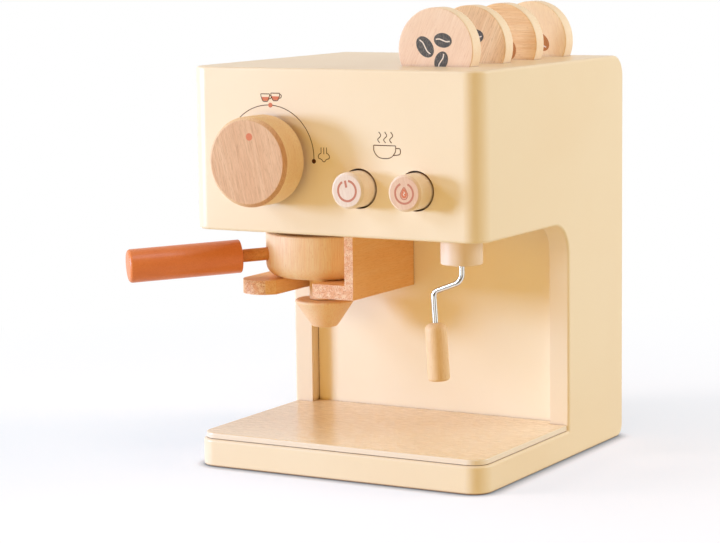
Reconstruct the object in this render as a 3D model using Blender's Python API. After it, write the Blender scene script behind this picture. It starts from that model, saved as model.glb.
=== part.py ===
"""Toy coffee maker: a painted wooden housing with turned wooden parts that move.

Metres, +Z up, +X to the right and -Y to the front. The origin is at the middle of the housing's
underside. Every piece is its own object, and pieces that touch keep the fit gap between them.
"""

import math

import bmesh
import bpy
from mathutils import Vector

# Clearances
FIT_GAP = 0.0003
RUNNING_GAP = 0.0004
CUT_OVERRUN = 0.002

# Roundness
LARGE_ROUND_STEPS = 32
SMALL_ROUND_STEPS = 16
SCREW_ROUND_STEPS = 12
CORNER_STEPS = 3
ARC_STEPS = 14
BOARD_CORNER_STEPS = 8
FRONT_BEVEL_STEPS = 6
WIRE_BEND_STEPS = 6
SPRING_ROUND_RESOLUTION = 1
WIRE_ROUND_RESOLUTION = 3
MERGE_SHARE = 0.01
SELECT_SHARE = 0.1

# Housing boards
HOUSING_WIDTH = 0.180
HOUSING_DEPTH = 0.183
HOUSING_HEIGHT = 0.224
SIDE_THICKNESS = 0.012
FRONT_THICKNESS = 0.012
TOP_THICKNESS = 0.012
FLOOR_THICKNESS = 0.012
BASE_THICKNESS = 0.0157
WALL_THICKNESS = 0.010
REAR_THICKNESS = 0.006
HEAD_HEIGHT = 0.090
COLUMN_DEPTH = 0.075
WALL_SETBACK = 0.0077
FRONT_CORNER_RADIUS = 0.011
INNER_CORNER_RADIUS = 0.018
REAR_TOP_RADIUS = 0.012
REAR_BOTTOM_RADIUS = 0.007

# Rear panel fixing
BATTEN_WIDTH = 0.012
BATTEN_DEPTH = 0.012
REAR_SCREW_HEIGHT = 0.045

# Tray
TRAY_THICKNESS = 0.0031
TRAY_INSET = 0.0015

# Wood screws
SCREW_HEAD_RADIUS = 0.0034
SCREW_HEAD_HEIGHT = 0.0026
SCREW_SHANK_RADIUS = 0.0015
SCREW_TIP_HEIGHT = 0.003
SCREW_RECESS_RADIUS = 0.0013
SCREW_RECESS_DEPTH = 0.0014
REAR_SCREW_LENGTH = 0.016
BRACKET_SCREW_LENGTH = 0.028
BRACKET_SCREW_INSET = 0.014

# Spout: neck and cone that hang below the cup
NECK_RADIUS = 0.0085
TENON_RADIUS = 0.004
TENON_LENGTH = 0.006
CONE_DROP = 0.0141
CONE_TOP_RADIUS = 0.0179
CONE_BOTTOM_RADIUS = 0.0072
CONE_HEIGHT = 0.0161
CONE_EDGE_RADIUS = 0.0014
CONE_TIP_RADIUS = 0.003

# Bracket: fork plate and upright wall under the head
FORK_DROP = 0.0337
FORK_THICKNESS = 0.008
FORK_OVERHANG = 0.002
FORK_TIP_OVERHANG = 0.005
FORK_SLOT_CLEARANCE = 0.0044
FORK_SIDE_INSET = 0.0012
PRONG_TIP_RADIUS_SHARE = 0.544
PRONG_FACET_SHARE = 0.1674
PRONG_FACET_RISE_SHARE = 0.1757
BRACKET_WALL_THICKNESS = 0.0055
BRACKET_WALL_CLEARANCE = 0.0006

# Portafilter cup, shaft and handle
CUP_RADIUS = 0.0333
CUP_SIDE_INSET = 0.0047
CUP_BACK_CLEARANCE = 0.0031
CUP_HEIGHT = 0.0253
CUP_WALL = 0.0053
CUP_FLOOR = 0.009
CUP_BOTTOM_RADIUS = 0.008
CUP_INNER_RADIUS = 0.004
CUP_RIM_RADIUS = 0.001
SHAFT_RADIUS = 0.0037
SHAFT_HEIGHT = 0.01506
SHAFT_INSET = 0.0006
SHAFT_FREE_LENGTH = 0.0159
SHAFT_HANDLE_DEPTH = 0.018
SHAFT_EDGE_RADIUS = 0.0005
HANDLE_RADIUS = 0.0096
HANDLE_LENGTH = 0.0650
HANDLE_NEAR_RADIUS = 0.0008
HANDLE_FAR_RADIUS = 0.0019
HANDLE_ANGLE = math.radians(224.0)
HANDLE_DROOP = math.radians(2.63)

# Dial
DIAL_OFFSET_SHARE = 0.2111
DIAL_DROP = 0.0493
KNOB_RADIUS = 0.0244
KNOB_THICKNESS = 0.0194
KNOB_FACE_RADIUS = 0.0022
KNOB_BACK_RADIUS = 0.001
KNOB_STANDOFF = 0.0049
KNOB_SOCKET_DEPTH = 0.011
DIAL_SHAFT_RADIUS = 0.005
DIAL_HUB_RADIUS = 0.008
DIAL_SHAFT_END = 0.0004
WASHER_RADIUS = 0.0095
WASHER_THICKNESS = 0.002
DIAL_SCREW_RADIUS = 0.0018
DIAL_SCREW_LENGTH = 0.014
DIAL_SCREW_HEAD_RADIUS = 0.004
DIAL_SCREW_HEAD_HEIGHT = 0.0025

# Push buttons
BUTTON_MIDDLE_SHARE = 0.1906
BUTTON_SPACING_SHARE = 0.1906
BUTTON_DROP = 0.0635
BUTTON_RADIUS = 0.0098
BUTTON_HOLE_CLEARANCE = 0.00095
BUTTON_PROTRUSION = 0.013
BUTTON_FACE_RADIUS = 0.0012
BUTTON_FLANGE_WIDTH = 0.0032
BUTTON_FLANGE_THICKNESS = 0.003
BUTTON_PIN_RADIUS = 0.003
BUTTON_PIN_CLEARANCE = 0.0005
BUTTON_PIN_REACH = 0.004

# Button springs and the board behind them
SPRING_LENGTH = 0.0174
SPRING_COIL_RADIUS = 0.0052
SPRING_WIRE_RADIUS = 0.0005
SPRING_TURNS = 6
SPRING_POINTS_PER_TURN = 10
GUIDE_THICKNESS = 0.008
GUIDE_SIDE_MARGIN = 0.012
GUIDE_TOP_MARGIN = 0.010

# Steam wand
WAND_SIDE_INSET = 0.0107
WAND_SETBACK = 0.020
BOSS_RADIUS = 0.0113
BOSS_HEIGHT = 0.0133
BOSS_EDGE_RADIUS = 0.0008
WIRE_RADIUS = 0.0015
WIRE_STRAIGHT = 0.0095
WIRE_REACH = 0.0171
WIRE_SLOPE = math.radians(21.0)
WIRE_TILT = math.radians(3.5)
WIRE_UPPER_BEND = 0.006
WIRE_LOWER_BEND = 0.0035
WIRE_LOWER_SHARE = 0.31854
WIRE_TOP_REACH = 0.0008
GRIP_START_SHARE = 0.14447
GRIP_LENGTH_SHARE = 0.27415
GRIP_TOP_RADIUS = 0.0059
GRIP_BOTTOM_RADIUS = 0.0060
GRIP_TOP_ROUNDING = 0.0042
GRIP_BOTTOM_ROUNDING = 0.0018
COLLAR_RADIUS = 0.005
COLLAR_HEIGHT = 0.006

# Pods standing in the top
POD_COUNT = 4
POD_SIDE_INSET = 0.0103
POD_RADIUS = 0.0227
POD_THICKNESS = 0.0098
POD_RISE = 0.0089
POD_FRONT_INSET = 0.036
POD_REAR_INSET = 0.0199
POD_EDGE_RADIUS = 0.0007
POD_SIDE_GAP = 0.0006

# Places that follow from the sizes
FRONT_Y = -HOUSING_DEPTH / 2
BACK_Y = HOUSING_DEPTH / 2
SIDE_X = HOUSING_WIDTH / 2
INSIDE_X = SIDE_X - SIDE_THICKNESS - FIT_GAP
HEAD_Z = HOUSING_HEIGHT - HEAD_HEIGHT
FLOOR_TOP_Z = HEAD_Z + FLOOR_THICKNESS
TOP_PANEL_Z = HOUSING_HEIGHT - TOP_THICKNESS
COLUMN_Y = BACK_Y - COLUMN_DEPTH
WALL_Y = COLUMN_Y + WALL_SETBACK
FRONT_BACK_Y = FRONT_Y + FRONT_THICKNESS
REAR_PANEL_Y = BACK_Y - FIT_GAP - REAR_THICKNESS
SPOUT_X = -SIDE_X + CUP_SIDE_INSET + CUP_RADIUS
SPOUT_Y = WALL_Y - CUP_BACK_CLEARANCE - CUP_RADIUS
FORK_Y = SPOUT_Y - CUP_RADIUS - FORK_OVERHANG
FORK_TIP_Y = SPOUT_Y - CUP_RADIUS - FORK_TIP_OVERHANG
FORK_TOP_Z = HEAD_Z - FORK_DROP
FORK_BOTTOM_Z = FORK_TOP_Z - FORK_THICKNESS
CUP_Z = FORK_TOP_Z + FIT_GAP
CONE_TOP_Z = CUP_Z - CONE_DROP
BRACKET_WALL_X = SPOUT_X + CUP_RADIUS + BRACKET_WALL_CLEARANCE
FORK_SLOT_HALF = NECK_RADIUS + FORK_SLOT_CLEARANCE
DIAL_X = -HOUSING_WIDTH * DIAL_OFFSET_SHARE
DIAL_Z = HOUSING_HEIGHT - DIAL_DROP
BUTTON_Z = HOUSING_HEIGHT - BUTTON_DROP
BUTTON_MIDDLE_X = HOUSING_WIDTH * BUTTON_MIDDLE_SHARE
BUTTON_SPACING = HOUSING_WIDTH * BUTTON_SPACING_SHARE
POWER_X = BUTTON_MIDDLE_X - BUTTON_SPACING / 2
BREW_X = BUTTON_MIDDLE_X + BUTTON_SPACING / 2
SPRING_Y = FRONT_BACK_Y + FIT_GAP + BUTTON_FLANGE_THICKNESS + FIT_GAP
GUIDE_Y = SPRING_Y + SPRING_LENGTH + FIT_GAP
WAND_X = SIDE_X - WAND_SIDE_INSET - BOSS_RADIUS
WAND_Y = FRONT_Y + WAND_SETBACK
BOSS_Z = HEAD_Z - FIT_GAP - BOSS_HEIGHT
BAY_HEIGHT = HEAD_Z - BASE_THICKNESS - FIT_GAP - TRAY_THICKNESS
WIRE_LOWER_LENGTH = BAY_HEIGHT * WIRE_LOWER_SHARE
GRIP_START = BAY_HEIGHT * GRIP_START_SHARE
GRIP_LENGTH = BAY_HEIGHT * GRIP_LENGTH_SHARE
POD_Z = HOUSING_HEIGHT + POD_RISE
POD_X = INSIDE_X - POD_SIDE_INSET - POD_RADIUS
POD_ROW_LENGTH = HOUSING_DEPTH - POD_FRONT_INSET - POD_REAR_INSET - POD_THICKNESS

FACE_FRONT = (math.pi / 2, 0.0, 0.0)
FACE_BACK = (-math.pi / 2, 0.0, 0.0)


def linear(red, green, blue):
    """Return a shader colour from 8-bit display values."""
    channels = []
    for value in (red, green, blue):
        share = value / 255
        channels.append(share / 12.92 if share <= 0.04045 else ((share + 0.055) / 1.055) ** 2.4)
    return (*channels, 1.0)


def clear_scene():
    """Remove whatever the scene held before."""
    for item in list(bpy.data.objects):
        bpy.data.objects.remove(item, do_unlink=True)


def make_material(name, colour, roughness, metallic=0.0):
    """Return a plain surface with the piece's colour."""
    material = bpy.data.materials.new(name)
    material.use_nodes = True
    shader = material.node_tree.nodes["Principled BSDF"]
    shader.inputs["Base Color"].default_value = colour
    shader.inputs["Roughness"].default_value = roughness
    shader.inputs["Metallic"].default_value = metallic
    material.diffuse_color = colour
    return material


def make_object(name, data, material, smooth=False):
    """Link a new object that carries the mesh or curve."""
    if material is not None:
        data.materials.append(material)
    item = bpy.data.objects.new(name, data)
    bpy.context.collection.objects.link(item)
    if smooth:
        data.shade_smooth()
        data.set_sharp_from_angle(angle=math.radians(35.0))
    return item


def mesh_from(name, bm):
    """Turn a bmesh into a mesh with its faces pointing out."""
    bmesh.ops.recalc_face_normals(bm, faces=bm.faces)
    mesh = bpy.data.meshes.new(name)
    bm.to_mesh(mesh)
    bm.free()
    return mesh


def arc(centre, radius, start, end, steps):
    """Return points along an arc from one angle to another."""
    points = []
    for step in range(steps + 1):
        angle = start + (end - start) * step / steps
        points.append((centre[0] + radius * math.cos(angle), centre[1] + radius * math.sin(angle)))
    return points


def rounded_outline(corners, steps=CORNER_STEPS):
    """Return a closed outline from corners (u, v, radius), with each corner rounded."""
    points = []
    for index, (u, v, radius) in enumerate(corners):
        here = Vector((u, v))
        if radius == 0:
            points.append((u, v))
            continue
        back = (Vector(corners[index - 1][:2]) - here).normalized()
        ahead = (Vector(corners[(index + 1) % len(corners)][:2]) - here).normalized()
        half = back.angle(ahead) / 2
        centre = here + (back + ahead).normalized() * (radius / math.sin(half))
        first = here + back * (radius / math.tan(half)) - centre
        last = here + ahead * (radius / math.tan(half)) - centre
        start = math.atan2(first.y, first.x)
        turn = math.remainder(math.atan2(last.y, last.x) - start, math.tau)
        points.extend(arc(centre, radius, start, start + turn, steps))
    return points


def prism_bmesh(outline, axis, low, high):
    """Extrude a closed outline along X, Y or Z between two places."""
    order = {"X": (2, 0, 1), "Y": (0, 2, 1), "Z": (0, 1, 2)}[axis]
    bm = bmesh.new()
    corners = []
    for u, v in outline:
        values = (u, v, low)
        corners.append(bm.verts.new([values[place] for place in order]))
    face = bm.faces.new(corners)
    pushed = bmesh.ops.extrude_face_region(bm, geom=[face])
    shift = {"X": Vector((1, 0, 0)), "Y": Vector((0, 1, 0)), "Z": Vector((0, 0, 1))}[axis] * (high - low)
    moved = [part for part in pushed["geom"] if isinstance(part, bmesh.types.BMVert)]
    bmesh.ops.translate(bm, verts=moved, vec=shift)
    return bm


def make_prism(name, outline, axis, low, high, material):
    """Make an object by extruding an outline."""
    return make_object(name, mesh_from(name, prism_bmesh(outline, axis, low, high)), material)


def make_box(name, low, high, material):
    """Make a box from its two opposite corners."""
    outline = [(low[0], low[1]), (high[0], low[1]), (high[0], high[1]), (low[0], high[1])]
    return make_prism(name, outline, "Z", low[2], high[2], material)


def turned_bmesh(profile, steps):
    """Spin a closed profile of (radius, height) points about Z."""
    bm = bmesh.new()
    verts = [bm.verts.new((radius, 0.0, height)) for radius, height in profile]
    for index, vert in enumerate(verts):
        following = verts[(index + 1) % len(verts)]
        if profile[index][0] == 0 and profile[(index + 1) % len(verts)][0] == 0:
            continue
        bm.edges.new((vert, following))
    bmesh.ops.spin(
        bm,
        geom=bm.verts[:] + bm.edges[:],
        cent=(0, 0, 0),
        axis=(0, 0, 1),
        angle=math.tau,
        steps=steps,
        use_merge=True,
    )
    bmesh.ops.remove_doubles(bm, verts=bm.verts, dist=FIT_GAP * MERGE_SHARE)
    return bm


def make_turned(name, corners, material, steps=LARGE_ROUND_STEPS, place=(0, 0, 0), turn=(0, 0, 0)):
    """Make a turned piece from rounded profile corners, and place it."""
    profile = rounded_outline(corners)
    item = make_object(name, mesh_from(name, turned_bmesh(profile, steps)), material, smooth=True)
    item.location = place
    item.rotation_euler = turn
    return item


def make_cylinder_cutter(name, radius, low, high, place, turn=(0, 0, 0), steps=SMALL_ROUND_STEPS):
    """Make a plain round cutter along its own Z, from low to high."""
    corners = [(0, low, 0), (radius, low, 0), (radius, high, 0), (0, high, 0)]
    return make_turned(name, corners, None, steps, place, turn)


def cut(target, *cutters):
    """Cut holes or slots out of a piece."""
    for cutter in cutters:
        cutter.hide_render = True
        cutter.display_type = "WIRE"
        modifier = target.modifiers.new("cut " + cutter.name, "BOOLEAN")
        modifier.operation = "DIFFERENCE"
        modifier.solver = "EXACT"
        modifier.object = cutter


def make_pivot(name, place):
    """Make an empty that marks a joint's axis."""
    pivot = bpy.data.objects.new(name, None)
    pivot.location = place
    bpy.context.collection.objects.link(pivot)
    return pivot


def carry(pivot, *pieces):
    """Parent pieces whose places are given from the pivot."""
    for piece in pieces:
        piece.parent = pivot


# Housing


def side_corners():
    """Return the side panel's outline: base arm, column and head arm."""
    return [
        (FRONT_Y, 0, 0),
        (BACK_Y, 0, REAR_BOTTOM_RADIUS),
        (BACK_Y, HOUSING_HEIGHT, REAR_TOP_RADIUS),
        (FRONT_Y, HOUSING_HEIGHT, 0),
        (FRONT_Y, HEAD_Z, 0),
        (COLUMN_Y, HEAD_Z, INNER_CORNER_RADIUS),
        (COLUMN_Y, BASE_THICKNESS, 0),
        (FRONT_Y, BASE_THICKNESS, 0),
    ]


def make_side_panel(name, side, material):
    """Make one side panel, with its outer front edges rounded in plan."""
    outer = side * SIDE_X
    inner = side * (SIDE_X - SIDE_THICKNESS)
    outline = rounded_outline(side_corners(), BOARD_CORNER_STEPS)
    bm = prism_bmesh(outline, "X", min(outer, inner), max(outer, inner))
    tiny = FIT_GAP * SELECT_SHARE
    edges = []
    for edge in bm.edges:
        ends = [vert.co for vert in edge.verts]
        at_corner = all(abs(end.x - outer) < tiny and abs(end.y - FRONT_Y) < tiny for end in ends)
        if at_corner and abs(ends[0].z - ends[1].z) > tiny:
            edges.append(edge)
    bmesh.ops.bevel(
        bm,
        geom=edges,
        offset=FRONT_CORNER_RADIUS,
        segments=FRONT_BEVEL_STEPS,
        profile=0.5,
        affect="EDGES",
        material=-1,
    )
    return make_object(name, mesh_from(name, bm), material)


def make_front_panel(material):
    """Make the front panel with its dial hole and two button holes."""
    low = (-INSIDE_X, FRONT_Y, HEAD_Z)
    high = (INSIDE_X, FRONT_BACK_Y, TOP_PANEL_Z - FIT_GAP)
    panel = make_box("front_panel", low, high, material)
    depth = -(FRONT_THICKNESS + CUT_OVERRUN)
    bore = DIAL_SHAFT_RADIUS + RUNNING_GAP
    place = (DIAL_X, FRONT_Y, DIAL_Z)
    cutters = [make_cylinder_cutter("dial_hole", bore, depth, CUT_OVERRUN, place, FACE_FRONT)]
    for name, x in (("power_hole", POWER_X), ("brew_hole", BREW_X)):
        radius = BUTTON_RADIUS + BUTTON_HOLE_CLEARANCE
        place = (x, FRONT_Y, BUTTON_Z)
        cutters.append(
            make_cylinder_cutter(name, radius, depth, CUT_OVERRUN, place, FACE_FRONT, LARGE_ROUND_STEPS)
        )
    cut(panel, *cutters)


def pod_front(index):
    """Return where a pod's front face stands."""
    return FRONT_Y + POD_FRONT_INSET + POD_ROW_LENGTH * index / (POD_COUNT - 1)


def slot_half_length():
    """Return half the length of a pod slot, whose end edges carry the pod."""
    reach = POD_RADIUS + FIT_GAP
    return math.sqrt(reach * reach - POD_RISE * POD_RISE)


def make_top_panel(material):
    """Make the top panel with a rounded rear edge and one slot for each pod."""
    corners = [
        (FRONT_Y, TOP_PANEL_Z, 0),
        (BACK_Y, TOP_PANEL_Z, 0),
        (BACK_Y, HOUSING_HEIGHT, min(REAR_TOP_RADIUS, TOP_THICKNESS - FIT_GAP)),
        (FRONT_Y, HOUSING_HEIGHT, 0),
    ]
    outline = rounded_outline(corners, BOARD_CORNER_STEPS)
    panel = make_prism("top_panel", outline, "X", -INSIDE_X, INSIDE_X, material)
    half = slot_half_length()
    for index in range(POD_COUNT):
        front = pod_front(index)
        low = (POD_X - half, front - POD_SIDE_GAP, TOP_PANEL_Z - CUT_OVERRUN)
        high = (POD_X + half, front + POD_THICKNESS + POD_SIDE_GAP, HOUSING_HEIGHT + CUT_OVERRUN)
        cut(panel, make_box(f"pod_slot_{index + 1}", low, high, None))


def make_head_floor(material):
    """Make the floor of the head, which is the ceiling over the tray."""
    low = (-INSIDE_X, FRONT_BACK_Y + FIT_GAP, HEAD_Z)
    high = (INSIDE_X, REAR_PANEL_Y - FIT_GAP, FLOOR_TOP_Z)
    floor = make_box("head_floor", low, high, material)
    radius = WIRE_RADIUS + RUNNING_GAP
    place = (WAND_X, WAND_Y, HEAD_Z)
    wire = make_cylinder_cutter("wire_hole", radius, -CUT_OVERRUN, FLOOR_THICKNESS + CUT_OVERRUN, place)
    cut(floor, wire, *rear_screw_cutters("floor", HEAD_Z + FLOOR_THICKNESS / 2))


def make_column_wall(material):
    """Make the wall at the back of the bay, between base and head floor."""
    low = (-INSIDE_X, WALL_Y, BASE_THICKNESS + FIT_GAP)
    high = (INSIDE_X, WALL_Y + WALL_THICKNESS, HEAD_Z - FIT_GAP)
    wall = make_box("column_wall", low, high, material)
    cut(wall, *bracket_screw_cutters("wall"))


def make_rear_panel(material):
    """Make the rear panel that closes column and head."""
    low = (-INSIDE_X, REAR_PANEL_Y, BASE_THICKNESS + FIT_GAP)
    high = (INSIDE_X, REAR_PANEL_Y + REAR_THICKNESS, TOP_PANEL_Z - FIT_GAP)
    panel = make_box("rear_panel", low, high, material)
    cut(panel, *rear_screw_cutters("rear_low", REAR_SCREW_HEIGHT))
    cut(panel, *rear_screw_cutters("rear_high", HEAD_Z + FLOOR_THICKNESS / 2))


def make_base_board(material):
    """Make the board between the base arms of the side panels."""
    corners = [
        (FRONT_Y, 0, 0),
        (BACK_Y, 0, REAR_BOTTOM_RADIUS),
        (BACK_Y, BASE_THICKNESS, 0),
        (FRONT_Y, BASE_THICKNESS, 0),
    ]
    outline = rounded_outline(corners, BOARD_CORNER_STEPS)
    make_prism("base_board", outline, "X", -INSIDE_X, INSIDE_X, material)


def make_battens(material):
    """Make the two battens that take the lower rear screws."""
    back = REAR_PANEL_Y - FIT_GAP
    for name, side in (("rear_batten_left", -1), ("rear_batten_right", 1)):
        outer = side * (INSIDE_X - FIT_GAP)
        inner = outer - side * BATTEN_WIDTH
        low = (min(outer, inner), back - BATTEN_DEPTH, BASE_THICKNESS + FIT_GAP)
        high = (max(outer, inner), back, HEAD_Z - FIT_GAP)
        batten = make_box(name, low, high, material)
        place = rear_screw_place(side, REAR_SCREW_HEIGHT)
        cut(batten, make_screw_cutter(name + "_hole", place, FACE_BACK, REAR_SCREW_LENGTH))


# Wood screws


def screw_corners(length):
    """Return a countersunk screw's profile, with its head's face at height zero."""
    return [
        (0, -length, 0),
        (SCREW_SHANK_RADIUS, SCREW_TIP_HEIGHT - length, 0),
        (SCREW_SHANK_RADIUS, -SCREW_HEAD_HEIGHT, 0),
        (SCREW_HEAD_RADIUS, 0, 0),
        (SCREW_RECESS_RADIUS, 0, 0),
        (0, -SCREW_RECESS_DEPTH, 0),
    ]


def make_screw_cutter(name, place, turn, length):
    """Make the countersunk hole for one screw, with the fit gap all around it."""
    shank = SCREW_SHANK_RADIUS + FIT_GAP
    head = SCREW_HEAD_RADIUS + FIT_GAP
    bottom = -length - FIT_GAP
    corners = [
        (0, bottom, 0),
        (shank, bottom + SCREW_TIP_HEIGHT, 0),
        (shank, -SCREW_HEAD_HEIGHT - FIT_GAP, 0),
        (head, -FIT_GAP, 0),
        (head, CUT_OVERRUN, 0),
        (0, CUT_OVERRUN, 0),
    ]
    return make_turned(name, corners, None, SCREW_ROUND_STEPS, place, turn)


def make_screws(name, places, turn, length, material):
    """Make the same screw at several places, each as its own object."""
    corners = screw_corners(length)
    for index, place in enumerate(places):
        make_turned(f"{name}_{index + 1}", corners, material, SCREW_ROUND_STEPS, place, turn)


def rear_screw_place(side, height):
    """Return where a rear screw's head lies."""
    x = side * (INSIDE_X - FIT_GAP - BATTEN_WIDTH / 2)
    return (x, REAR_PANEL_Y + REAR_THICKNESS, height)


def rear_screw_places():
    """Return the places of the four rear screws."""
    heights = (REAR_SCREW_HEIGHT, HEAD_Z + FLOOR_THICKNESS / 2)
    return [rear_screw_place(side, height) for height in heights for side in (-1, 1)]


def rear_screw_cutters(name, height):
    """Make the holes for the two rear screws at one height."""
    cutters = []
    for side in (-1, 1):
        label = f"{name}_screw_hole_{'left' if side < 0 else 'right'}"
        place = rear_screw_place(side, height)
        cutters.append(make_screw_cutter(label, place, FACE_BACK, REAR_SCREW_LENGTH))
    return cutters


def bracket_screw_places():
    """Return the two places where screws pass the column wall into the fork plate."""
    height = FORK_TOP_Z - FORK_THICKNESS / 2
    left = -INSIDE_X + BRACKET_SCREW_INSET
    right = BRACKET_WALL_X + BRACKET_WALL_THICKNESS - BRACKET_SCREW_INSET
    return [(x, WALL_Y + WALL_THICKNESS, height) for x in (left, right)]


def bracket_screw_cutters(name):
    """Make the holes for the bracket's screws."""
    cutters = []
    for index, place in enumerate(bracket_screw_places()):
        label = f"{name}_bracket_hole_{index + 1}"
        cutters.append(make_screw_cutter(label, place, FACE_BACK, BRACKET_SCREW_LENGTH))
    return cutters


# Tray and bracket


def make_tray(material):
    """Make the tray: a sheet on the base with a tongue between the columns."""
    side = SIDE_X - TRAY_INSET
    front = FRONT_Y + TRAY_INSET
    column = COLUMN_Y - FIT_GAP
    radius = FRONT_CORNER_RADIUS - TRAY_INSET
    corners = [
        (-side, front, radius),
        (side, front, radius),
        (side, column, 0),
        (INSIDE_X, column, 0),
        (INSIDE_X, WALL_Y - FIT_GAP, 0),
        (-INSIDE_X, WALL_Y - FIT_GAP, 0),
        (-INSIDE_X, column, 0),
        (-side, column, 0),
    ]
    low = BASE_THICKNESS + FIT_GAP
    make_prism("drip_tray", rounded_outline(corners), "Z", low, low + TRAY_THICKNESS, material)


def fork_outline():
    """Return the fork plate's outline: one square prong, one round one, and the slot between."""
    right = BRACKET_WALL_X + BRACKET_WALL_THICKNESS
    left = -SIDE_X + FORK_SIDE_INSET
    back = WALL_Y - FIT_GAP
    column = COLUMN_Y - FIT_GAP
    slot_left = SPOUT_X - FORK_SLOT_HALF
    slot_right = SPOUT_X + FORK_SLOT_HALF
    prong = slot_left - left
    radius = prong * PRONG_TIP_RADIUS_SHARE
    tip = (left + radius, FORK_TIP_Y + radius)
    reach = math.acos((prong - prong * PRONG_FACET_SHARE - radius) / radius)
    facet_y = tip[1] - radius * math.sin(reach) + prong * PRONG_FACET_RISE_SHARE
    points = [(right, FORK_Y), (right, back), (-INSIDE_X, back)]
    points += [(-INSIDE_X, column), (left, column)]
    points += arc(tip, radius, math.pi, math.tau - reach, ARC_STEPS)
    points += [(slot_left, facet_y)]
    points += arc((SPOUT_X, SPOUT_Y), FORK_SLOT_HALF, math.pi, 0, ARC_STEPS)
    points += [(slot_right, FORK_Y)]
    return points


def make_bracket(material):
    """Make the fork plate and the upright wall that stands on it."""
    plate = make_prism("bracket_plate", fork_outline(), "Z", FORK_BOTTOM_Z, FORK_TOP_Z, material)
    cut(plate, *bracket_screw_cutters("plate"))
    low = (BRACKET_WALL_X, FORK_Y, FORK_TOP_Z + FIT_GAP)
    high = (BRACKET_WALL_X + BRACKET_WALL_THICKNESS, WALL_Y - FIT_GAP, HEAD_Z - FIT_GAP)
    make_box("bracket_wall", low, high, material)


# Portafilter and spout


def make_cup(material):
    """Make the turned cup, with holes for the handle's shaft and the neck's tenon."""
    inner = CUP_RADIUS - CUP_WALL
    corners = [
        (0, 0, 0),
        (CUP_RADIUS, 0, CUP_BOTTOM_RADIUS),
        (CUP_RADIUS, CUP_HEIGHT, CUP_RIM_RADIUS),
        (inner, CUP_HEIGHT, CUP_RIM_RADIUS),
        (inner, CUP_FLOOR, CUP_INNER_RADIUS),
        (0, CUP_FLOOR, 0),
    ]
    cup = make_turned("portafilter_cup", corners, material)
    shaft = make_cylinder_cutter(
        "shaft_hole",
        SHAFT_RADIUS + FIT_GAP,
        inner - CUP_INNER_RADIUS,
        CUP_RADIUS + CUT_OVERRUN,
        (SPOUT_X, SPOUT_Y, CUP_Z + SHAFT_HEIGHT),
        (0, math.pi / 2 + HANDLE_DROOP, HANDLE_ANGLE),
    )
    tenon = make_cylinder_cutter(
        "cup_tenon_hole",
        TENON_RADIUS + FIT_GAP,
        -CUT_OVERRUN,
        TENON_LENGTH,
        (SPOUT_X, SPOUT_Y, CUP_Z),
    )
    cut(cup, shaft, tenon)
    return cup


def make_handle(material, shaft_material):
    """Make the handle and the thin shaft that joins it to the cup."""
    turn = (0, math.pi / 2 + HANDLE_DROOP, HANDLE_ANGLE)
    start = CUP_RADIUS - CUP_WALL + SHAFT_INSET
    near = CUP_RADIUS + SHAFT_FREE_LENGTH
    end = near + SHAFT_HANDLE_DEPTH
    corners = [
        (0, start, 0),
        (SHAFT_RADIUS, start, SHAFT_EDGE_RADIUS),
        (SHAFT_RADIUS, end, SHAFT_EDGE_RADIUS),
        (0, end, 0),
    ]
    place = (0, 0, SHAFT_HEIGHT)
    shaft = make_turned("portafilter_shaft", corners, shaft_material, SMALL_ROUND_STEPS, place, turn)
    bore = SHAFT_RADIUS + FIT_GAP
    far = near + HANDLE_LENGTH
    corners = [
        (0, end + FIT_GAP, 0),
        (bore, end + FIT_GAP, 0),
        (bore, near, 0),
        (HANDLE_RADIUS, near, HANDLE_NEAR_RADIUS),
        (HANDLE_RADIUS, far, HANDLE_FAR_RADIUS),
        (0, far, 0),
    ]
    handle = make_turned("portafilter_handle", corners, material, LARGE_ROUND_STEPS, place, turn)
    return shaft, handle


def make_spout(material):
    """Make the neck, with a tenon at each end, and the cone below it."""
    low = CONE_TOP_Z + FIT_GAP
    high = CUP_Z - FIT_GAP
    tenon = TENON_LENGTH - FIT_GAP
    corners = [
        (0, low - tenon, 0),
        (TENON_RADIUS, low - tenon, 0),
        (TENON_RADIUS, low, 0),
        (NECK_RADIUS, low, 0),
        (NECK_RADIUS, high, 0),
        (TENON_RADIUS, high, 0),
        (TENON_RADIUS, high + tenon, 0),
        (0, high + tenon, 0),
    ]
    neck = make_turned("spout_neck", corners, material)
    socket = TENON_RADIUS + FIT_GAP
    bottom = CONE_TOP_Z - CONE_HEIGHT
    corners = [
        (0, bottom, 0),
        (CONE_BOTTOM_RADIUS, bottom, CONE_TIP_RADIUS),
        (CONE_TOP_RADIUS, CONE_TOP_Z, CONE_EDGE_RADIUS),
        (socket, CONE_TOP_Z, 0),
        (socket, CONE_TOP_Z - TENON_LENGTH, 0),
        (0, CONE_TOP_Z - TENON_LENGTH, 0),
    ]
    cone = make_turned("spout_cone", corners, material)
    return neck, cone


def make_portafilter(wood, handle_wood, shaft_wood):
    """Make the cup with its handle on one pivot, and the spout below on another."""
    pivot = make_pivot("portafilter_axis", (SPOUT_X, SPOUT_Y, CUP_Z))
    cup = make_cup(wood)
    carry(pivot, cup, *make_handle(handle_wood, shaft_wood))
    carry(make_pivot("spout_axis", (SPOUT_X, SPOUT_Y, 0)), *make_spout(wood))


# Dial


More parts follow.
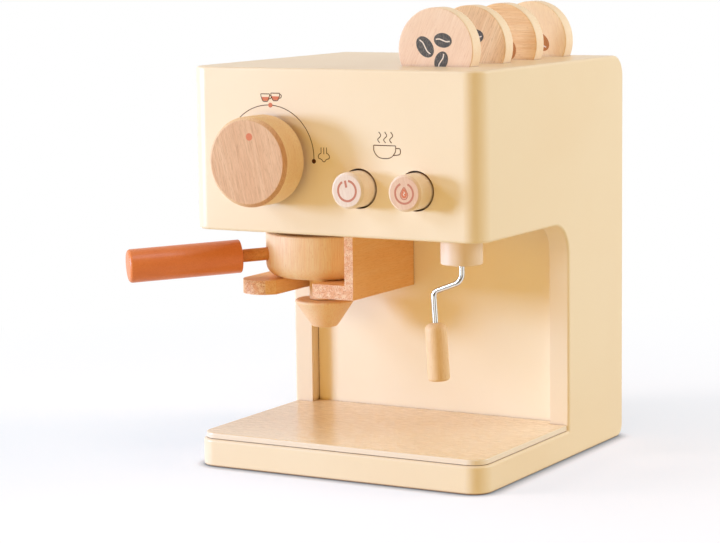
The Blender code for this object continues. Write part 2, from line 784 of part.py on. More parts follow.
def make_dial(wood, steel):
    """Make the knob, its shaft through the front panel, and the washer and screw behind."""
    back = KNOB_STANDOFF
    face = KNOB_STANDOFF + KNOB_THICKNESS
    socket = DIAL_SHAFT_RADIUS + FIT_GAP
    corners = [
        (0, back + KNOB_SOCKET_DEPTH, 0),
        (socket, back + KNOB_SOCKET_DEPTH, 0),
        (socket, back, 0),
        (KNOB_RADIUS, back, KNOB_BACK_RADIUS),
        (KNOB_RADIUS, face, KNOB_FACE_RADIUS),
        (0, face, 0),
    ]
    knob = make_turned("dial_knob", corners, wood, LARGE_ROUND_STEPS, (0, 0, 0), FACE_FRONT)
    pilot = DIAL_SCREW_RADIUS + FIT_GAP
    shaft_end = -FRONT_THICKNESS - DIAL_SHAFT_END
    corners = [
        (0, shaft_end + DIAL_SCREW_LENGTH, 0),
        (pilot, shaft_end + DIAL_SCREW_LENGTH, 0),
        (pilot, shaft_end, 0),
        (DIAL_SHAFT_RADIUS, shaft_end, 0),
        (DIAL_SHAFT_RADIUS, RUNNING_GAP, 0),
        (DIAL_HUB_RADIUS, RUNNING_GAP, 0),
        (DIAL_HUB_RADIUS, back - FIT_GAP, 0),
        (DIAL_SHAFT_RADIUS, back - FIT_GAP, 0),
        (DIAL_SHAFT_RADIUS, back + KNOB_SOCKET_DEPTH - FIT_GAP, 0),
        (0, back + KNOB_SOCKET_DEPTH - FIT_GAP, 0),
    ]
    shaft = make_turned("dial_shaft", corners, wood, SMALL_ROUND_STEPS, (0, 0, 0), FACE_FRONT)
    washer_face = shaft_end - FIT_GAP
    washer_back = washer_face - WASHER_THICKNESS
    corners = [
        (pilot, washer_back, 0),
        (WASHER_RADIUS, washer_back, 0),
        (WASHER_RADIUS, washer_face, 0),
        (pilot, washer_face, 0),
    ]
    washer = make_turned("dial_washer", corners, steel, SMALL_ROUND_STEPS, (0, 0, 0), FACE_FRONT)
    seat = washer_back - FIT_GAP
    tip = shaft_end + DIAL_SCREW_LENGTH - FIT_GAP
    corners = [
        (0, seat - DIAL_SCREW_HEAD_HEIGHT + SCREW_RECESS_DEPTH, 0),
        (SCREW_RECESS_RADIUS, seat - DIAL_SCREW_HEAD_HEIGHT, 0),
        (DIAL_SCREW_HEAD_RADIUS, seat - DIAL_SCREW_HEAD_HEIGHT, 0),
        (DIAL_SCREW_HEAD_RADIUS, seat, 0),
        (DIAL_SCREW_RADIUS, seat, 0),
        (DIAL_SCREW_RADIUS, tip - SCREW_TIP_HEIGHT, 0),
        (0, tip, 0),
    ]
    screw = make_turned("dial_screw", corners, steel, SMALL_ROUND_STEPS, (0, 0, 0), FACE_FRONT)
    carry(make_pivot("dial_axis", (DIAL_X, FRONT_Y, DIAL_Z)), knob, shaft, washer, screw)


# Push buttons


def make_button(name, x, wood):
    """Make one button: round cap, flange behind the panel, and a pin that guides it."""
    flange = -FRONT_THICKNESS - FIT_GAP
    back = flange - BUTTON_FLANGE_THICKNESS
    pin = FRONT_Y - GUIDE_Y - GUIDE_THICKNESS - BUTTON_PIN_REACH
    corners = [
        (0, pin, 0),
        (BUTTON_PIN_RADIUS, pin, 0),
        (BUTTON_PIN_RADIUS, back, 0),
        (BUTTON_RADIUS + BUTTON_FLANGE_WIDTH, back, 0),
        (BUTTON_RADIUS + BUTTON_FLANGE_WIDTH, flange, 0),
        (BUTTON_RADIUS, flange, 0),
        (BUTTON_RADIUS, BUTTON_PROTRUSION, BUTTON_FACE_RADIUS),
        (0, BUTTON_PROTRUSION, 0),
    ]
    return make_turned(name, corners, wood, LARGE_ROUND_STEPS, (x, FRONT_Y, BUTTON_Z), FACE_FRONT)


def helix_points(start):
    """Return the centre line of a button spring along +Y."""
    free = SPRING_LENGTH - 2 * SPRING_WIRE_RADIUS
    total = SPRING_TURNS * SPRING_POINTS_PER_TURN
    points = []
    for step in range(total + 1):
        angle = math.tau * step / SPRING_POINTS_PER_TURN
        along = start + SPRING_WIRE_RADIUS + free * step / total
        points.append((SPRING_COIL_RADIUS * math.cos(angle), along, SPRING_COIL_RADIUS * math.sin(angle)))
    return points


def least_self_gap(points):
    """Return the narrowest gap between curls at least half a turn apart."""
    apart = SPRING_POINTS_PER_TURN // 2
    gaps = []
    for index, point in enumerate(points):
        for other in points[index + apart:]:
            gaps.append((Vector(point) - Vector(other)).length - 2 * SPRING_WIRE_RADIUS)
    return min(gaps)


def make_tube(name, points, radius, resolution, material):
    """Make a closed round tube along points."""
    curve = bpy.data.curves.new(name, "CURVE")
    curve.dimensions = "3D"
    curve.bevel_depth = radius
    curve.bevel_resolution = resolution
    curve.use_fill_caps = True
    spline = curve.splines.new("POLY")
    spline.points.add(len(points) - 1)
    for target, point in zip(spline.points, points):
        target.co = (*point, 1.0)
    curve.materials.append(material)
    item = bpy.data.objects.new(name, curve)
    bpy.context.collection.objects.link(item)
    return item


def make_spring(name, x, steel):
    """Make one helical return spring between the button's flange and the guide board."""
    points = helix_points(SPRING_Y)
    print(f"{name}: least gap between curls {least_self_gap(points):.5f} m")
    spring = make_tube(name, points, SPRING_WIRE_RADIUS, SPRING_ROUND_RESOLUTION, steel)
    spring.location = (x, 0, BUTTON_Z)


def make_guide(material):
    """Make the guide board behind the buttons, with a hole for each pin."""
    low = (POWER_X - GUIDE_SIDE_MARGIN, GUIDE_Y, FLOOR_TOP_Z + FIT_GAP)
    high = (BREW_X + GUIDE_SIDE_MARGIN, GUIDE_Y + GUIDE_THICKNESS, BUTTON_Z + GUIDE_TOP_MARGIN)
    board = make_box("button_guide", low, high, material)
    for name, x in (("power_pin_hole", POWER_X), ("brew_pin_hole", BREW_X)):
        radius = BUTTON_PIN_RADIUS + BUTTON_PIN_CLEARANCE
        place = (x, GUIDE_Y, BUTTON_Z)
        far = GUIDE_THICKNESS + CUT_OVERRUN
        cut(board, make_cylinder_cutter(name, radius, -CUT_OVERRUN, far, place, FACE_BACK))


# Steam wand


def wire_corners():
    """Return the wire's corners and bend radii in the X-Z plane, from the wand's axis."""
    top = FLOOR_TOP_Z + FIT_GAP + COLLAR_HEIGHT + WIRE_TOP_REACH
    knee = BOSS_Z - WIRE_STRAIGHT
    elbow = (-WIRE_REACH, knee - WIRE_REACH * math.tan(WIRE_SLOPE))
    end = (
        elbow[0] + WIRE_LOWER_LENGTH * math.sin(WIRE_TILT),
        elbow[1] - WIRE_LOWER_LENGTH * math.cos(WIRE_TILT),
    )
    return [(0, top, 0), (0, knee, WIRE_UPPER_BEND), (*elbow, WIRE_LOWER_BEND), (*end, 0)]


def make_wand(wood, steel, cream):
    """Make the boss under the head, the bent wire, its grip and the collar that holds it."""
    bore = WIRE_RADIUS + RUNNING_GAP
    corners = [
        (bore, BOSS_Z, 0),
        (BOSS_RADIUS, BOSS_Z, BOSS_EDGE_RADIUS),
        (BOSS_RADIUS, BOSS_Z + BOSS_HEIGHT, 0),
        (bore, BOSS_Z + BOSS_HEIGHT, 0),
    ]
    make_turned("steam_boss", corners, cream, LARGE_ROUND_STEPS, (WAND_X, WAND_Y, 0))
    path = wire_corners()
    points = [(u, 0.0, v) for u, v in rounded_outline(path, WIRE_BEND_STEPS)]
    wire = make_tube("steam_wire", points, WIRE_RADIUS, WIRE_ROUND_RESOLUTION, steel)
    bore = WIRE_RADIUS + FIT_GAP
    depth = WIRE_LOWER_LENGTH - GRIP_START + FIT_GAP
    corners = [
        (0, -GRIP_LENGTH, 0),
        (GRIP_BOTTOM_RADIUS, -GRIP_LENGTH, GRIP_BOTTOM_ROUNDING),
        (GRIP_TOP_RADIUS, 0, GRIP_TOP_ROUNDING),
        (bore, 0, 0),
        (bore, -depth, 0),
        (0, -depth, 0),
    ]
    elbow = path[2]
    place = (elbow[0] + GRIP_START * math.sin(WIRE_TILT), 0, elbow[1] - GRIP_START * math.cos(WIRE_TILT))
    grip = make_turned("steam_grip", corners, wood, LARGE_ROUND_STEPS, place, (0, -WIRE_TILT, 0))
    low = FLOOR_TOP_Z + FIT_GAP
    corners = [
        (bore, low, 0),
        (COLLAR_RADIUS, low, 0),
        (COLLAR_RADIUS, low + COLLAR_HEIGHT, 0),
        (bore, low + COLLAR_HEIGHT, 0),
    ]
    collar = make_turned("wire_collar", corners, steel, SMALL_ROUND_STEPS)
    carry(make_pivot("wand_axis", (WAND_X, WAND_Y, 0)), wire, grip, collar)


# Pods


def make_pods(material):
    """Make the four pods, each on edge in its slot."""
    half = POD_THICKNESS / 2
    corners = [
        (0, -half, 0),
        (POD_RADIUS, -half, POD_EDGE_RADIUS),
        (POD_RADIUS, half, POD_EDGE_RADIUS),
        (0, half, 0),
    ]
    for index in range(POD_COUNT):
        place = (POD_X, pod_front(index) + half, POD_Z)
        make_turned(f"pod_{index + 1}", corners, material, LARGE_ROUND_STEPS, place, FACE_FRONT)


def main():
    """Build the whole toy."""
    clear_scene()
    cream = make_material("cream paint", linear(251, 230, 205), 0.45)
    ply = make_material("light plywood", linear(240, 212, 180), 0.6)
    beech = make_material("beech", linear(232, 190, 155), 0.55)
    pale = make_material("pale beech", linear(235, 200, 172), 0.55)
    stained = make_material("stained beech", linear(208, 110, 60), 0.5)
    steel = make_material("bright steel", linear(200, 200, 202), 0.25, 1.0)

    make_side_panel("left_side_panel", -1, cream)
    make_side_panel("right_side_panel", 1, cream)
    make_front_panel(cream)
    make_top_panel(cream)
    make_head_floor(cream)
    make_column_wall(cream)
    make_rear_panel(cream)
    make_base_board(cream)
    make_battens(beech)
    make_screws("rear_screw", rear_screw_places(), FACE_BACK, REAR_SCREW_LENGTH, steel)
    make_tray(ply)
    make_bracket(beech)
    make_screws("bracket_screw", bracket_screw_places(), FACE_BACK, BRACKET_SCREW_LENGTH, steel)
    make_portafilter(beech, stained, stained)
    make_dial(pale, steel)
    make_button("power_button", POWER_X, pale)
    make_button("brew_button", BREW_X, pale)
    make_spring("power_spring", POWER_X, steel)
    make_spring("brew_spring", BREW_X, steel)
    make_guide(beech)
    make_wand(beech, steel, cream)
    make_pods(pale)


main()
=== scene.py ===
"""Looks of a wooden toy coffee maker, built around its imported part.

Metres, +Z up, +X to the right and -Y to the front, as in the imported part. Every sub-assembly is a
class that holds its sizes and builds and dresses its own pieces.
"""

from __future__ import annotations

import logging
import math
from dataclasses import dataclass
from enum import Enum
from typing import Callable, Iterable, Sequence

import bmesh
import bpy
from mathutils import Matrix, Vector

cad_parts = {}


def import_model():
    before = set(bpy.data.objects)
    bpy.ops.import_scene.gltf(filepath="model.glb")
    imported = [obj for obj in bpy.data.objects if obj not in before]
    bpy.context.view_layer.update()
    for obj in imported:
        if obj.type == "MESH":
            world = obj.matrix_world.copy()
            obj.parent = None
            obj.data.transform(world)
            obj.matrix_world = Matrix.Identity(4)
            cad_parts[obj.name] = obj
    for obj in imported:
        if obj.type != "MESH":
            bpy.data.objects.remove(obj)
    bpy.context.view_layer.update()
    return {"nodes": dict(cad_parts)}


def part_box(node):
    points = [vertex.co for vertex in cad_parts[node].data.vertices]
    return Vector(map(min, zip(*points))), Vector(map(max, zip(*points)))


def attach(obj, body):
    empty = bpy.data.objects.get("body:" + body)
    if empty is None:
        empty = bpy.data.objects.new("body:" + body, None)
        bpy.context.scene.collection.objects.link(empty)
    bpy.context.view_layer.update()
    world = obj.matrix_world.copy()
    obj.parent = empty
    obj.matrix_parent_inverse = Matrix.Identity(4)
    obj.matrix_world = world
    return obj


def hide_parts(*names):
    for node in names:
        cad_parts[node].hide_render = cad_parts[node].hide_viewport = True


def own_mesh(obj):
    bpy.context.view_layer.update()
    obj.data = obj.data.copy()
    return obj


log = logging.getLogger("toy_coffee_maker")

Corner = tuple[float, float, float]
Place = tuple[float, float, float]
Point = tuple[float, float]
Colour = tuple[float, float, float]
Socket = bpy.types.NodeSocket

MERGED = 1e-7
NEAR = 1e-6
BESIDE = 1e-5
EDGE_ANGLE = math.radians(38)
SMOOTH_ANGLE = math.radians(40)
UNTURNED = (0.0, 0.0, 0.0)
EVEN = (1.0, 1.0, 1.0)
# Direction in which a chamfer's painted shade faces: down and to the right, away from the lamps.
SHADED_SIDE = (1.0, 0.0, -0.35)

# Sizes that several sub-assemblies share

FRONT = -0.0915
BOARD_STEP = 0.0162
BOARD_TONGUE = 0.0777
BOARD_BACK = 0.0239
DIAL = (-0.038, 0.1747)
SPOUT = (-0.052, -0.0122)
BUTTONS = (0.01715, 0.05145)
BUTTON_HEIGHT = 0.1605
POD_X = 0.0447
POD_THICKNESS = 0.0098
POD_FRONTS = (-0.0555, -0.0164, 0.0227, 0.0618)


class Grain(Enum):
    """Direction in which a piece's wood fibres run, as a turn of the pattern's own Z axis."""

    ALONG_X = (0.0, math.pi / 2, 0.0)
    ALONG_Y = (math.pi / 2, 0.0, 0.0)
    ALONG_Z = (0.0, 0.0, 0.0)
    LEANING = (0.0, -0.42, 0.0)
    LEANING_BACK = (0.0, 0.23, 0.0)
    ALONG_HANDLE = (0.0, -math.pi / 2 - 0.046, -math.radians(224.0))


class Tone(Enum):
    """Tone of a wood: its ground, its darker bands and its flecks, as display values."""

    TRAY = ((252, 225, 187), (248, 216, 174), (243, 208, 163))
    TRAY_EDGE = ((248, 230, 210), (245, 223, 200), (236, 210, 186))
    CUP = ((255, 226, 188), (252, 206, 158), (232, 172, 122))
    BRACKET = ((255, 205, 142), (250, 184, 114), (222, 148, 84))
    BRACKET_END = ((250, 212, 178), (238, 178, 136), (206, 130, 94))
    GRIP = ((246, 210, 166), (238, 194, 146), (218, 166, 114))
    KNOB = ((233, 190, 149), (220, 168, 126), (184, 132, 94))
    ROSE = ((242, 222, 206), (234, 206, 188), (218, 184, 164))
    PEACH = ((238, 202, 176), (228, 184, 154), (208, 158, 130))
    GOLD_RIM = ((254, 224, 178), (250, 210, 160), (236, 188, 132))
    POD_ROSE = ((246, 216, 188), (240, 204, 172), (220, 176, 140))
    POD_TAN = ((248, 214, 166), (230, 182, 130), (184, 130, 86))
    POD_HONEY = ((252, 214, 160), (238, 184, 122), (208, 150, 96))
    POD_PALE = ((253, 226, 182), (249, 214, 164), (228, 184, 138))
    PALE_RIM = ((255, 236, 212), (253, 226, 196), (242, 208, 172))
    # Darker tone that paints shade on the lower right of the knob's chamfer.
    ARRIS_SHADE = ((230, 178, 136), (212, 154, 110), (184, 126, 86))
    STAINED = ((238, 138, 72), (230, 124, 60), (212, 106, 48))
    STAINED_DARK = ((238, 168, 98), (222, 140, 72), (184, 104, 50))


class Facing(Enum):
    """Side on which a print or a turned piece looks out, as a turn about X."""

    FRONT = math.pi / 2
    BACK = -math.pi / 2


@dataclass(frozen=True)
class Figure:
    """Noise figure: its scale and stretch, and the values between which it comes up."""

    scale: float
    stretch: Place = EVEN
    low: float = 0.3
    high: float = 0.7
    detail: float = 2.0


BANDS = Figure(130.0, (1.0, 0.7, 0.05), 0.34, 0.68)
STREAKS = Figure(720.0, (1.0, 0.8, 0.035), 0.38, 0.68)
FIBRES = Figure(2300.0, (1.0, 1.0, 0.05), 0.42, 0.72)
FLECKS = Figure(1900.0, (1.0, 0.6, 0.2), 0.60, 0.74, 1.0)
RELIEF = Figure(2300.0, (1.0, 1.0, 0.05), 0.30, 0.80)
END_CLOUDS = Figure(380.0, (1.0, 1.0, 0.25), 0.40, 0.62)
END_SPECKS = Figure(1350.0, (1.0, 1.0, 0.25), 0.50, 0.66, 1.0)
PAINT_CLOUDS = Figure(14.0, EVEN, 0.35, 0.70, 3.0)
PAINT_BRUSH = Figure(900.0, EVEN, 0.20, 0.80)
DRAWN_LINES = Figure(2200.0, (1.0, 1.0, 0.2))


def display(red: float, green: float, blue: float) -> tuple[float, float, float, float]:
    """Turn 8-bit display values into a shader colour.

    Args:
        red: Red from 0 to 255.
        green: Green from 0 to 255.
        blue: Blue from 0 to 255.

    Returns:
        Linear red, green and blue, with alpha 1.
    """
    channels = []
    for value in (red, green, blue):
        share = value / 255
        channels.append(share / 12.92 if share <= 0.04045 else ((share + 0.055) / 1.055) ** 2.4)
    return (channels[0], channels[1], channels[2], 1.0)


class ShaderSheet:
    """A material whose nodes are added one call at a time."""

    def __init__(self, name: str, plain: dict[str, object]) -> None:
        """Start a material with its principled shader.

        Args:
            name: The material's name.
            plain: Name of the shader's sockets to constants.
        """
        self.material = bpy.data.materials.new(name)
        self.material.use_nodes = True
        self.tree = self.material.node_tree
        self.shader = self.tree.nodes["Principled BSDF"]
        for socket, value in plain.items():
            self.shader.inputs[socket].default_value = value

    @classmethod
    def over(cls, tree: bpy.types.NodeTree) -> "ShaderSheet":
        """Return a sheet that adds nodes to a tree without a principled shader."""
        sheet = cls.__new__(cls)
        sheet.tree = tree
        return sheet

    def add(self, kind: str, inputs: dict | None = None, **settings: object) -> bpy.types.Node:
        """Add a node.

        Args:
            kind: Blender's node type.
            inputs: Socket name or number to a value, or to a socket that is linked in.
            **settings: Properties of the node.

        Returns:
            The new node.
        """
        node = self.tree.nodes.new(kind)
        for key, value in settings.items():
            setattr(node, key, value)
        for key, value in (inputs or {}).items():
            if isinstance(value, Socket):
                self.tree.links.new(value, node.inputs[key])
            else:
                node.inputs[key].default_value = value
        return node

    def feed(self, socket: str, source: Socket) -> None:
        """Link a socket into the principled shader."""
        self.tree.links.new(source, self.shader.inputs[socket])

    def place(self, turn: Place = UNTURNED, stretch: Place = EVEN) -> Socket:
        """Return object coordinates, turned and then stretched."""
        start = self.add("ShaderNodeTexCoord")
        turned = self.add("ShaderNodeMapping", {"Vector": start.outputs["Object"], "Rotation": turn})
        drawn = self.add("ShaderNodeMapping", {"Vector": turned.outputs["Vector"], "Scale": stretch})
        return drawn.outputs["Vector"]

    def noise(self, figure: Figure, turn: Place = UNTURNED) -> Socket:
        """Return a figure's plain noise, from 0 to 1."""
        place = self.place(turn, figure.stretch)
        inputs = {"Vector": place, "Scale": figure.scale, "Detail": figure.detail}
        return self.add("ShaderNodeTexNoise", inputs).outputs["Fac"]

    def share(self, figure: Figure, turn: Place = UNTURNED, most: float = 1.0) -> Socket:
        """Return how far a figure comes up, from 0 to the given most."""
        return self.span(self.noise(figure, turn), figure.low, figure.high, 0.0, most)

    def facing_share(self, axis: str, low: float, high: float, turn: Place = UNTURNED) -> Socket:
        """Return 1 where a face looks along an axis of the turned pattern, and 0 where it looks aside."""
        start = self.add("ShaderNodeTexCoord")
        turned = self.add("ShaderNodeMapping", {"Vector": start.outputs["Normal"], "Rotation": turn},
                          vector_type="VECTOR")
        parts = self.add("ShaderNodeSeparateXYZ", {0: turned.outputs["Vector"]})
        size = self.add("ShaderNodeMath", {0: parts.outputs[axis]}, operation="ABSOLUTE")
        return self.span(size.outputs["Value"], low, high)

    def leaning(self, way: Place) -> Socket:
        """Return how far a face looks along a direction of the object, from -1 to 1."""
        start = self.add("ShaderNodeTexCoord")
        node = self.add("ShaderNodeVectorMath", {0: start.outputs["Normal"], 1: way}, operation="DOT_PRODUCT")
        return node.outputs["Value"]

    def openness(self, reach: float, **inputs: Socket) -> Socket:
        """Return 1 in the open and 0 where faces within a reach close a place in."""
        node = self.add("ShaderNodeAmbientOcclusion", {"Distance": reach, **inputs}, samples=8)
        return node.outputs["AO"]

    def product(self, first: Socket, second: Socket) -> Socket:
        """Return two values multiplied."""
        return self.add("ShaderNodeMath", {0: first, 1: second}, operation="MULTIPLY").outputs["Value"]

    def plainly_seen(self) -> Socket:
        """Return 1 for rays from the camera, a glossy surface or a clear one, and 0 for soft light."""
        paths = self.add("ShaderNodeLightPath")
        share = paths.outputs["Is Camera Ray"]
        for name in ("Is Glossy Ray", "Is Transmission Ray"):
            share = self.add("ShaderNodeMath", {0: share, 1: paths.outputs[name]},
                             operation="MAXIMUM").outputs["Value"]
        return share

    def span(self, value: Socket, low: float, high: float, to_low: float = 0.0, to_high: float = 1.0
             ) -> Socket:
        """Return a value spread from one range to another, and kept inside it."""
        inputs = {"Value": value, "From Min": low, "From Max": high, "To Min": to_low, "To Max": to_high}
        return self.add("ShaderNodeMapRange", inputs).outputs["Result"]

    def blend(self, share: Socket, first: object, second: object) -> Socket:
        """Return one colour mixed with another by a share."""
        node = self.add("ShaderNodeMix", data_type="RGBA")
        for socket, value in ((node.inputs[0], share), (node.inputs[6], first), (node.inputs[7], second)):
            if isinstance(value, Socket):
                self.tree.links.new(value, socket)
            else:
                socket.default_value = value
        return node.outputs[2]

    def emission(self, colour: Colour) -> Socket:
        """Return a surface that glows in a linear colour."""
        return self.add("ShaderNodeEmission", {"Color": (*colour, 1.0)}).outputs["Emission"]

    def either(self, share: Socket, first: Socket, second: Socket) -> Socket:
        """Return one surface mixed with another by a share."""
        return self.add("ShaderNodeMixShader", {0: share, 1: first, 2: second}).outputs["Shader"]

    def show(self, output: str, surface: Socket) -> None:
        """Link a surface into the tree's output."""
        self.tree.links.new(surface, self.tree.nodes[output].inputs["Surface"])

    def bump(self, height: Socket, strength: float, distance: float = 0.0002) -> None:
        """Raise the surface by a height pattern."""
        node = self.add("ShaderNodeBump", {"Height": height, "Strength": strength, "Distance": distance})
        self.feed("Normal", node.outputs["Normal"])


@dataclass(frozen=True)
class PaintFinish:
    """Satin paint on wood: nearly even, faintly brushed, with a painted brown shade in crevices."""

    name: str
    slot: str
    colour: Colour
    shade: Colour
    # Painted shade: the dark brown that crevices, seams and holes take, how far the occlusion that places it
    # reaches, and between which values it comes in.
    crevice_shade: Colour = (132, 58, 12)
    crevice_shade_reach: float = 0.004
    crevice_shade_span: Point = (0.12, 0.58)
    roughness: Point = (0.30, 0.39)
    gloss: float = 0.4
    ripple: float = 0.04

    def build(self) -> bpy.types.Material:
        """Return the painted surface."""
        sheet = ShaderSheet(self.name, {"Specular IOR Level": self.gloss})
        even = sheet.blend(sheet.share(PAINT_CLOUDS), display(*self.colour), display(*self.shade))
        # Painted shade: where nearby faces shut a place in, the paint turns to the dark brown of shade.
        clear = sheet.span(sheet.openness(self.crevice_shade_reach), *self.crevice_shade_span)
        sheet.feed("Base Color", sheet.blend(clear, display(*self.crevice_shade), even))
        brush = sheet.noise(PAINT_BRUSH)
        sheet.feed("Roughness", sheet.span(brush, PAINT_BRUSH.low, PAINT_BRUSH.high, *self.roughness))
        sheet.bump(brush, self.ripple)
        return sheet.material


@dataclass(frozen=True)
class WoodFinish:
    """Solid wood: growth bands, streaks, fine fibres and short flecks, all along one direction, with painted
    shade on the lower right of a chamfer where asked.
    """

    name: str
    slot: str
    tone: Tone
    grain: Grain
    band_share: float = 0.55
    streak_share: float = 0.45
    fleck_share: float = 0.35
    fibre_share: float = 0.35
    roughness: Point = (0.47, 0.62)
    gloss: float = 0.4
    coat: float = 0.0
    coat_roughness: float = 0.22
    ripple: float = 0.10
    edge: Tone | None = None
    edge_axis: str = "Y"
    edge_span: Point = (0.55, 0.85)
    ends: Tone | None = None
    ends_span: Point = (0.62, 0.86)
    specks_share: float = 0.75
    # Tone and placing of the painted shade on a chamfer: its band of slope, and the side on which it falls.
    arris_shade: Tone | None = None
    arris_span: Point = (0.40, 0.52)
    arris_end: Point = (0.96, 0.84)
    arris_shade_side: Point = (-0.15, 0.35)

    def _long_grain(self, sheet: ShaderSheet, tone: Tone) -> Socket:
        """Return the colour of wood seen along its fibres."""
        turn = self.grain.value
        colour, band, fleck = (display(*shade) for shade in tone.value)
        banded = sheet.blend(sheet.share(BANDS, turn, self.band_share), colour, band)
        lined = sheet.blend(sheet.share(STREAKS, turn, self.streak_share), banded, band)
        fine = sheet.blend(sheet.share(FIBRES, turn, self.fibre_share), lined, fleck)
        return sheet.blend(sheet.share(FLECKS, turn, self.fleck_share), fine, fleck)

    def _end_grain(self, sheet: ShaderSheet, tone: Tone) -> Socket:
        """Return the speckled colour of wood cut across its fibres."""
        turn = self.grain.value
        colour, band, fleck = (display(*shade) for shade in tone.value)
        cloud = sheet.blend(sheet.share(END_CLOUDS, turn), colour, band)
        return sheet.blend(sheet.share(END_SPECKS, turn, self.specks_share), cloud, fleck)

    def build(self) -> bpy.types.Material:
        """Return the wooden surface."""
        sheet = ShaderSheet(self.name, {"Specular IOR Level": self.gloss, "Coat Weight": self.coat,
                                        "Coat Roughness": self.coat_roughness})
        turn = self.grain.value
        colour = self._long_grain(sheet, self.tone)
        if self.edge is not None:
            face = sheet.facing_share(self.edge_axis, *self.edge_span)
            colour = sheet.blend(face, self._long_grain(sheet, self.edge), colour)
        # Painted shade: the chamfer takes the darker tone only where it faces down and to the right, away
        # from the lamps.
        if self.arris_shade is not None:
            shaded_slant = sheet.product(sheet.facing_share(self.edge_axis, *self.arris_span),
                                  sheet.facing_share(self.edge_axis, *self.arris_end))
            shaded_slant = sheet.product(shaded_slant, sheet.span(sheet.leaning(SHADED_SIDE), *self.arris_shade_side))
            colour = sheet.blend(shaded_slant, colour, self._long_grain(sheet, self.arris_shade))
        if self.ends is not None:
            across = sheet.facing_share("Z", *self.ends_span, turn)
            colour = sheet.blend(across, colour, self._end_grain(sheet, self.ends))
        sheet.feed("Base Color", colour)
        relief = sheet.noise(RELIEF, turn)
        sheet.feed("Roughness", sheet.span(relief, RELIEF.low, RELIEF.high, *self.roughness))
        sheet.bump(relief, self.ripple)
        return sheet.material


@dataclass(frozen=True)
class SteelFinish:
    """Bright drawn steel with faint lines along the wire or around the head, and painted reflections: a dark
    band and a warm rim that follow the view angle.
    """

    name: str
    slot: str
    colour: Colour
    # Painted reflections: the dark band's colour, the warm rim's colour, and where each lies by the view
    # angle.
    line: Colour = (120, 108, 90)
    edge: Colour = (170, 148, 118)
    dullness: float = 0.86
    dull_share: float = 0.35
    dark_reflection_start: Point = (0.015, 0.05)
    dark_reflection_end: Point = (0.11, 0.18)
    edge_span: Point = (0.42, 0.70)
    roughness: Point = (0.24, 0.36)
    ripple: float = 0.03
    ripple_depth: float = 0.0001

    def build(self) -> bpy.types.Material:
        """Return the steel surface."""
        sheet = ShaderSheet(self.name, {"Metallic": 1.0})
        dull = tuple(channel * self.dullness for channel in self.colour)
        share = sheet.share(DRAWN_LINES, most=self.dull_share)
        drawn = sheet.blend(share, display(*self.colour), display(*dull))
        # Painted reflection: by the view angle, a dark band between the bright middle and the sides, and a
        # warm rim where the view grazes.
        reflection_view = sheet.add("ShaderNodeLayerWeight", {"Blend": 0.5}).outputs["Facing"]
        dark_reflection = sheet.blend(sheet.span(reflection_view, *self.dark_reflection_start), drawn, display(*self.line))
        band = sheet.blend(sheet.span(reflection_view, *self.dark_reflection_end), dark_reflection, drawn)
        sheet.feed("Base Color", sheet.blend(sheet.span(reflection_view, *self.edge_span), band, display(*self.edge)))
        lines = sheet.noise(DRAWN_LINES)
        sheet.feed("Roughness", sheet.span(lines, DRAWN_LINES.low, DRAWN_LINES.high, *self.roughness))
        sheet.bump(lines, self.ripple, self.ripple_depth)
        return sheet.material


@dataclass(frozen=True)
class InkFinish:
    """Matt pad-printed ink that lets a little of the wood's or paint's grain through."""

    name: str
    slot: str
    colour: Colour
    worn: Colour
    grit_scale: float = 2600.0
    gloss: float = 0.08
    roughness: float = 0.62
    worn_share: float = 0.6
    ripple: float = 0.05
    ripple_depth: float = 0.0001

    def build(self) -> bpy.types.Material:
        """Return the printed surface."""
        sheet = ShaderSheet(self.name, {"Roughness": self.roughness, "Specular IOR Level": self.gloss})
        grit = Figure(self.grit_scale, (1.0, 1.0, 0.5), 0.45, 0.75)
        share = sheet.share(grit, most=self.worn_share)
        sheet.feed("Base Color", sheet.blend(share, display(*self.colour), display(*self.worn)))
        sheet.bump(sheet.noise(grit), self.ripple, self.ripple_depth)
        return sheet.material


Finish = PaintFinish | WoodFinish | SteelFinish | InkFinish


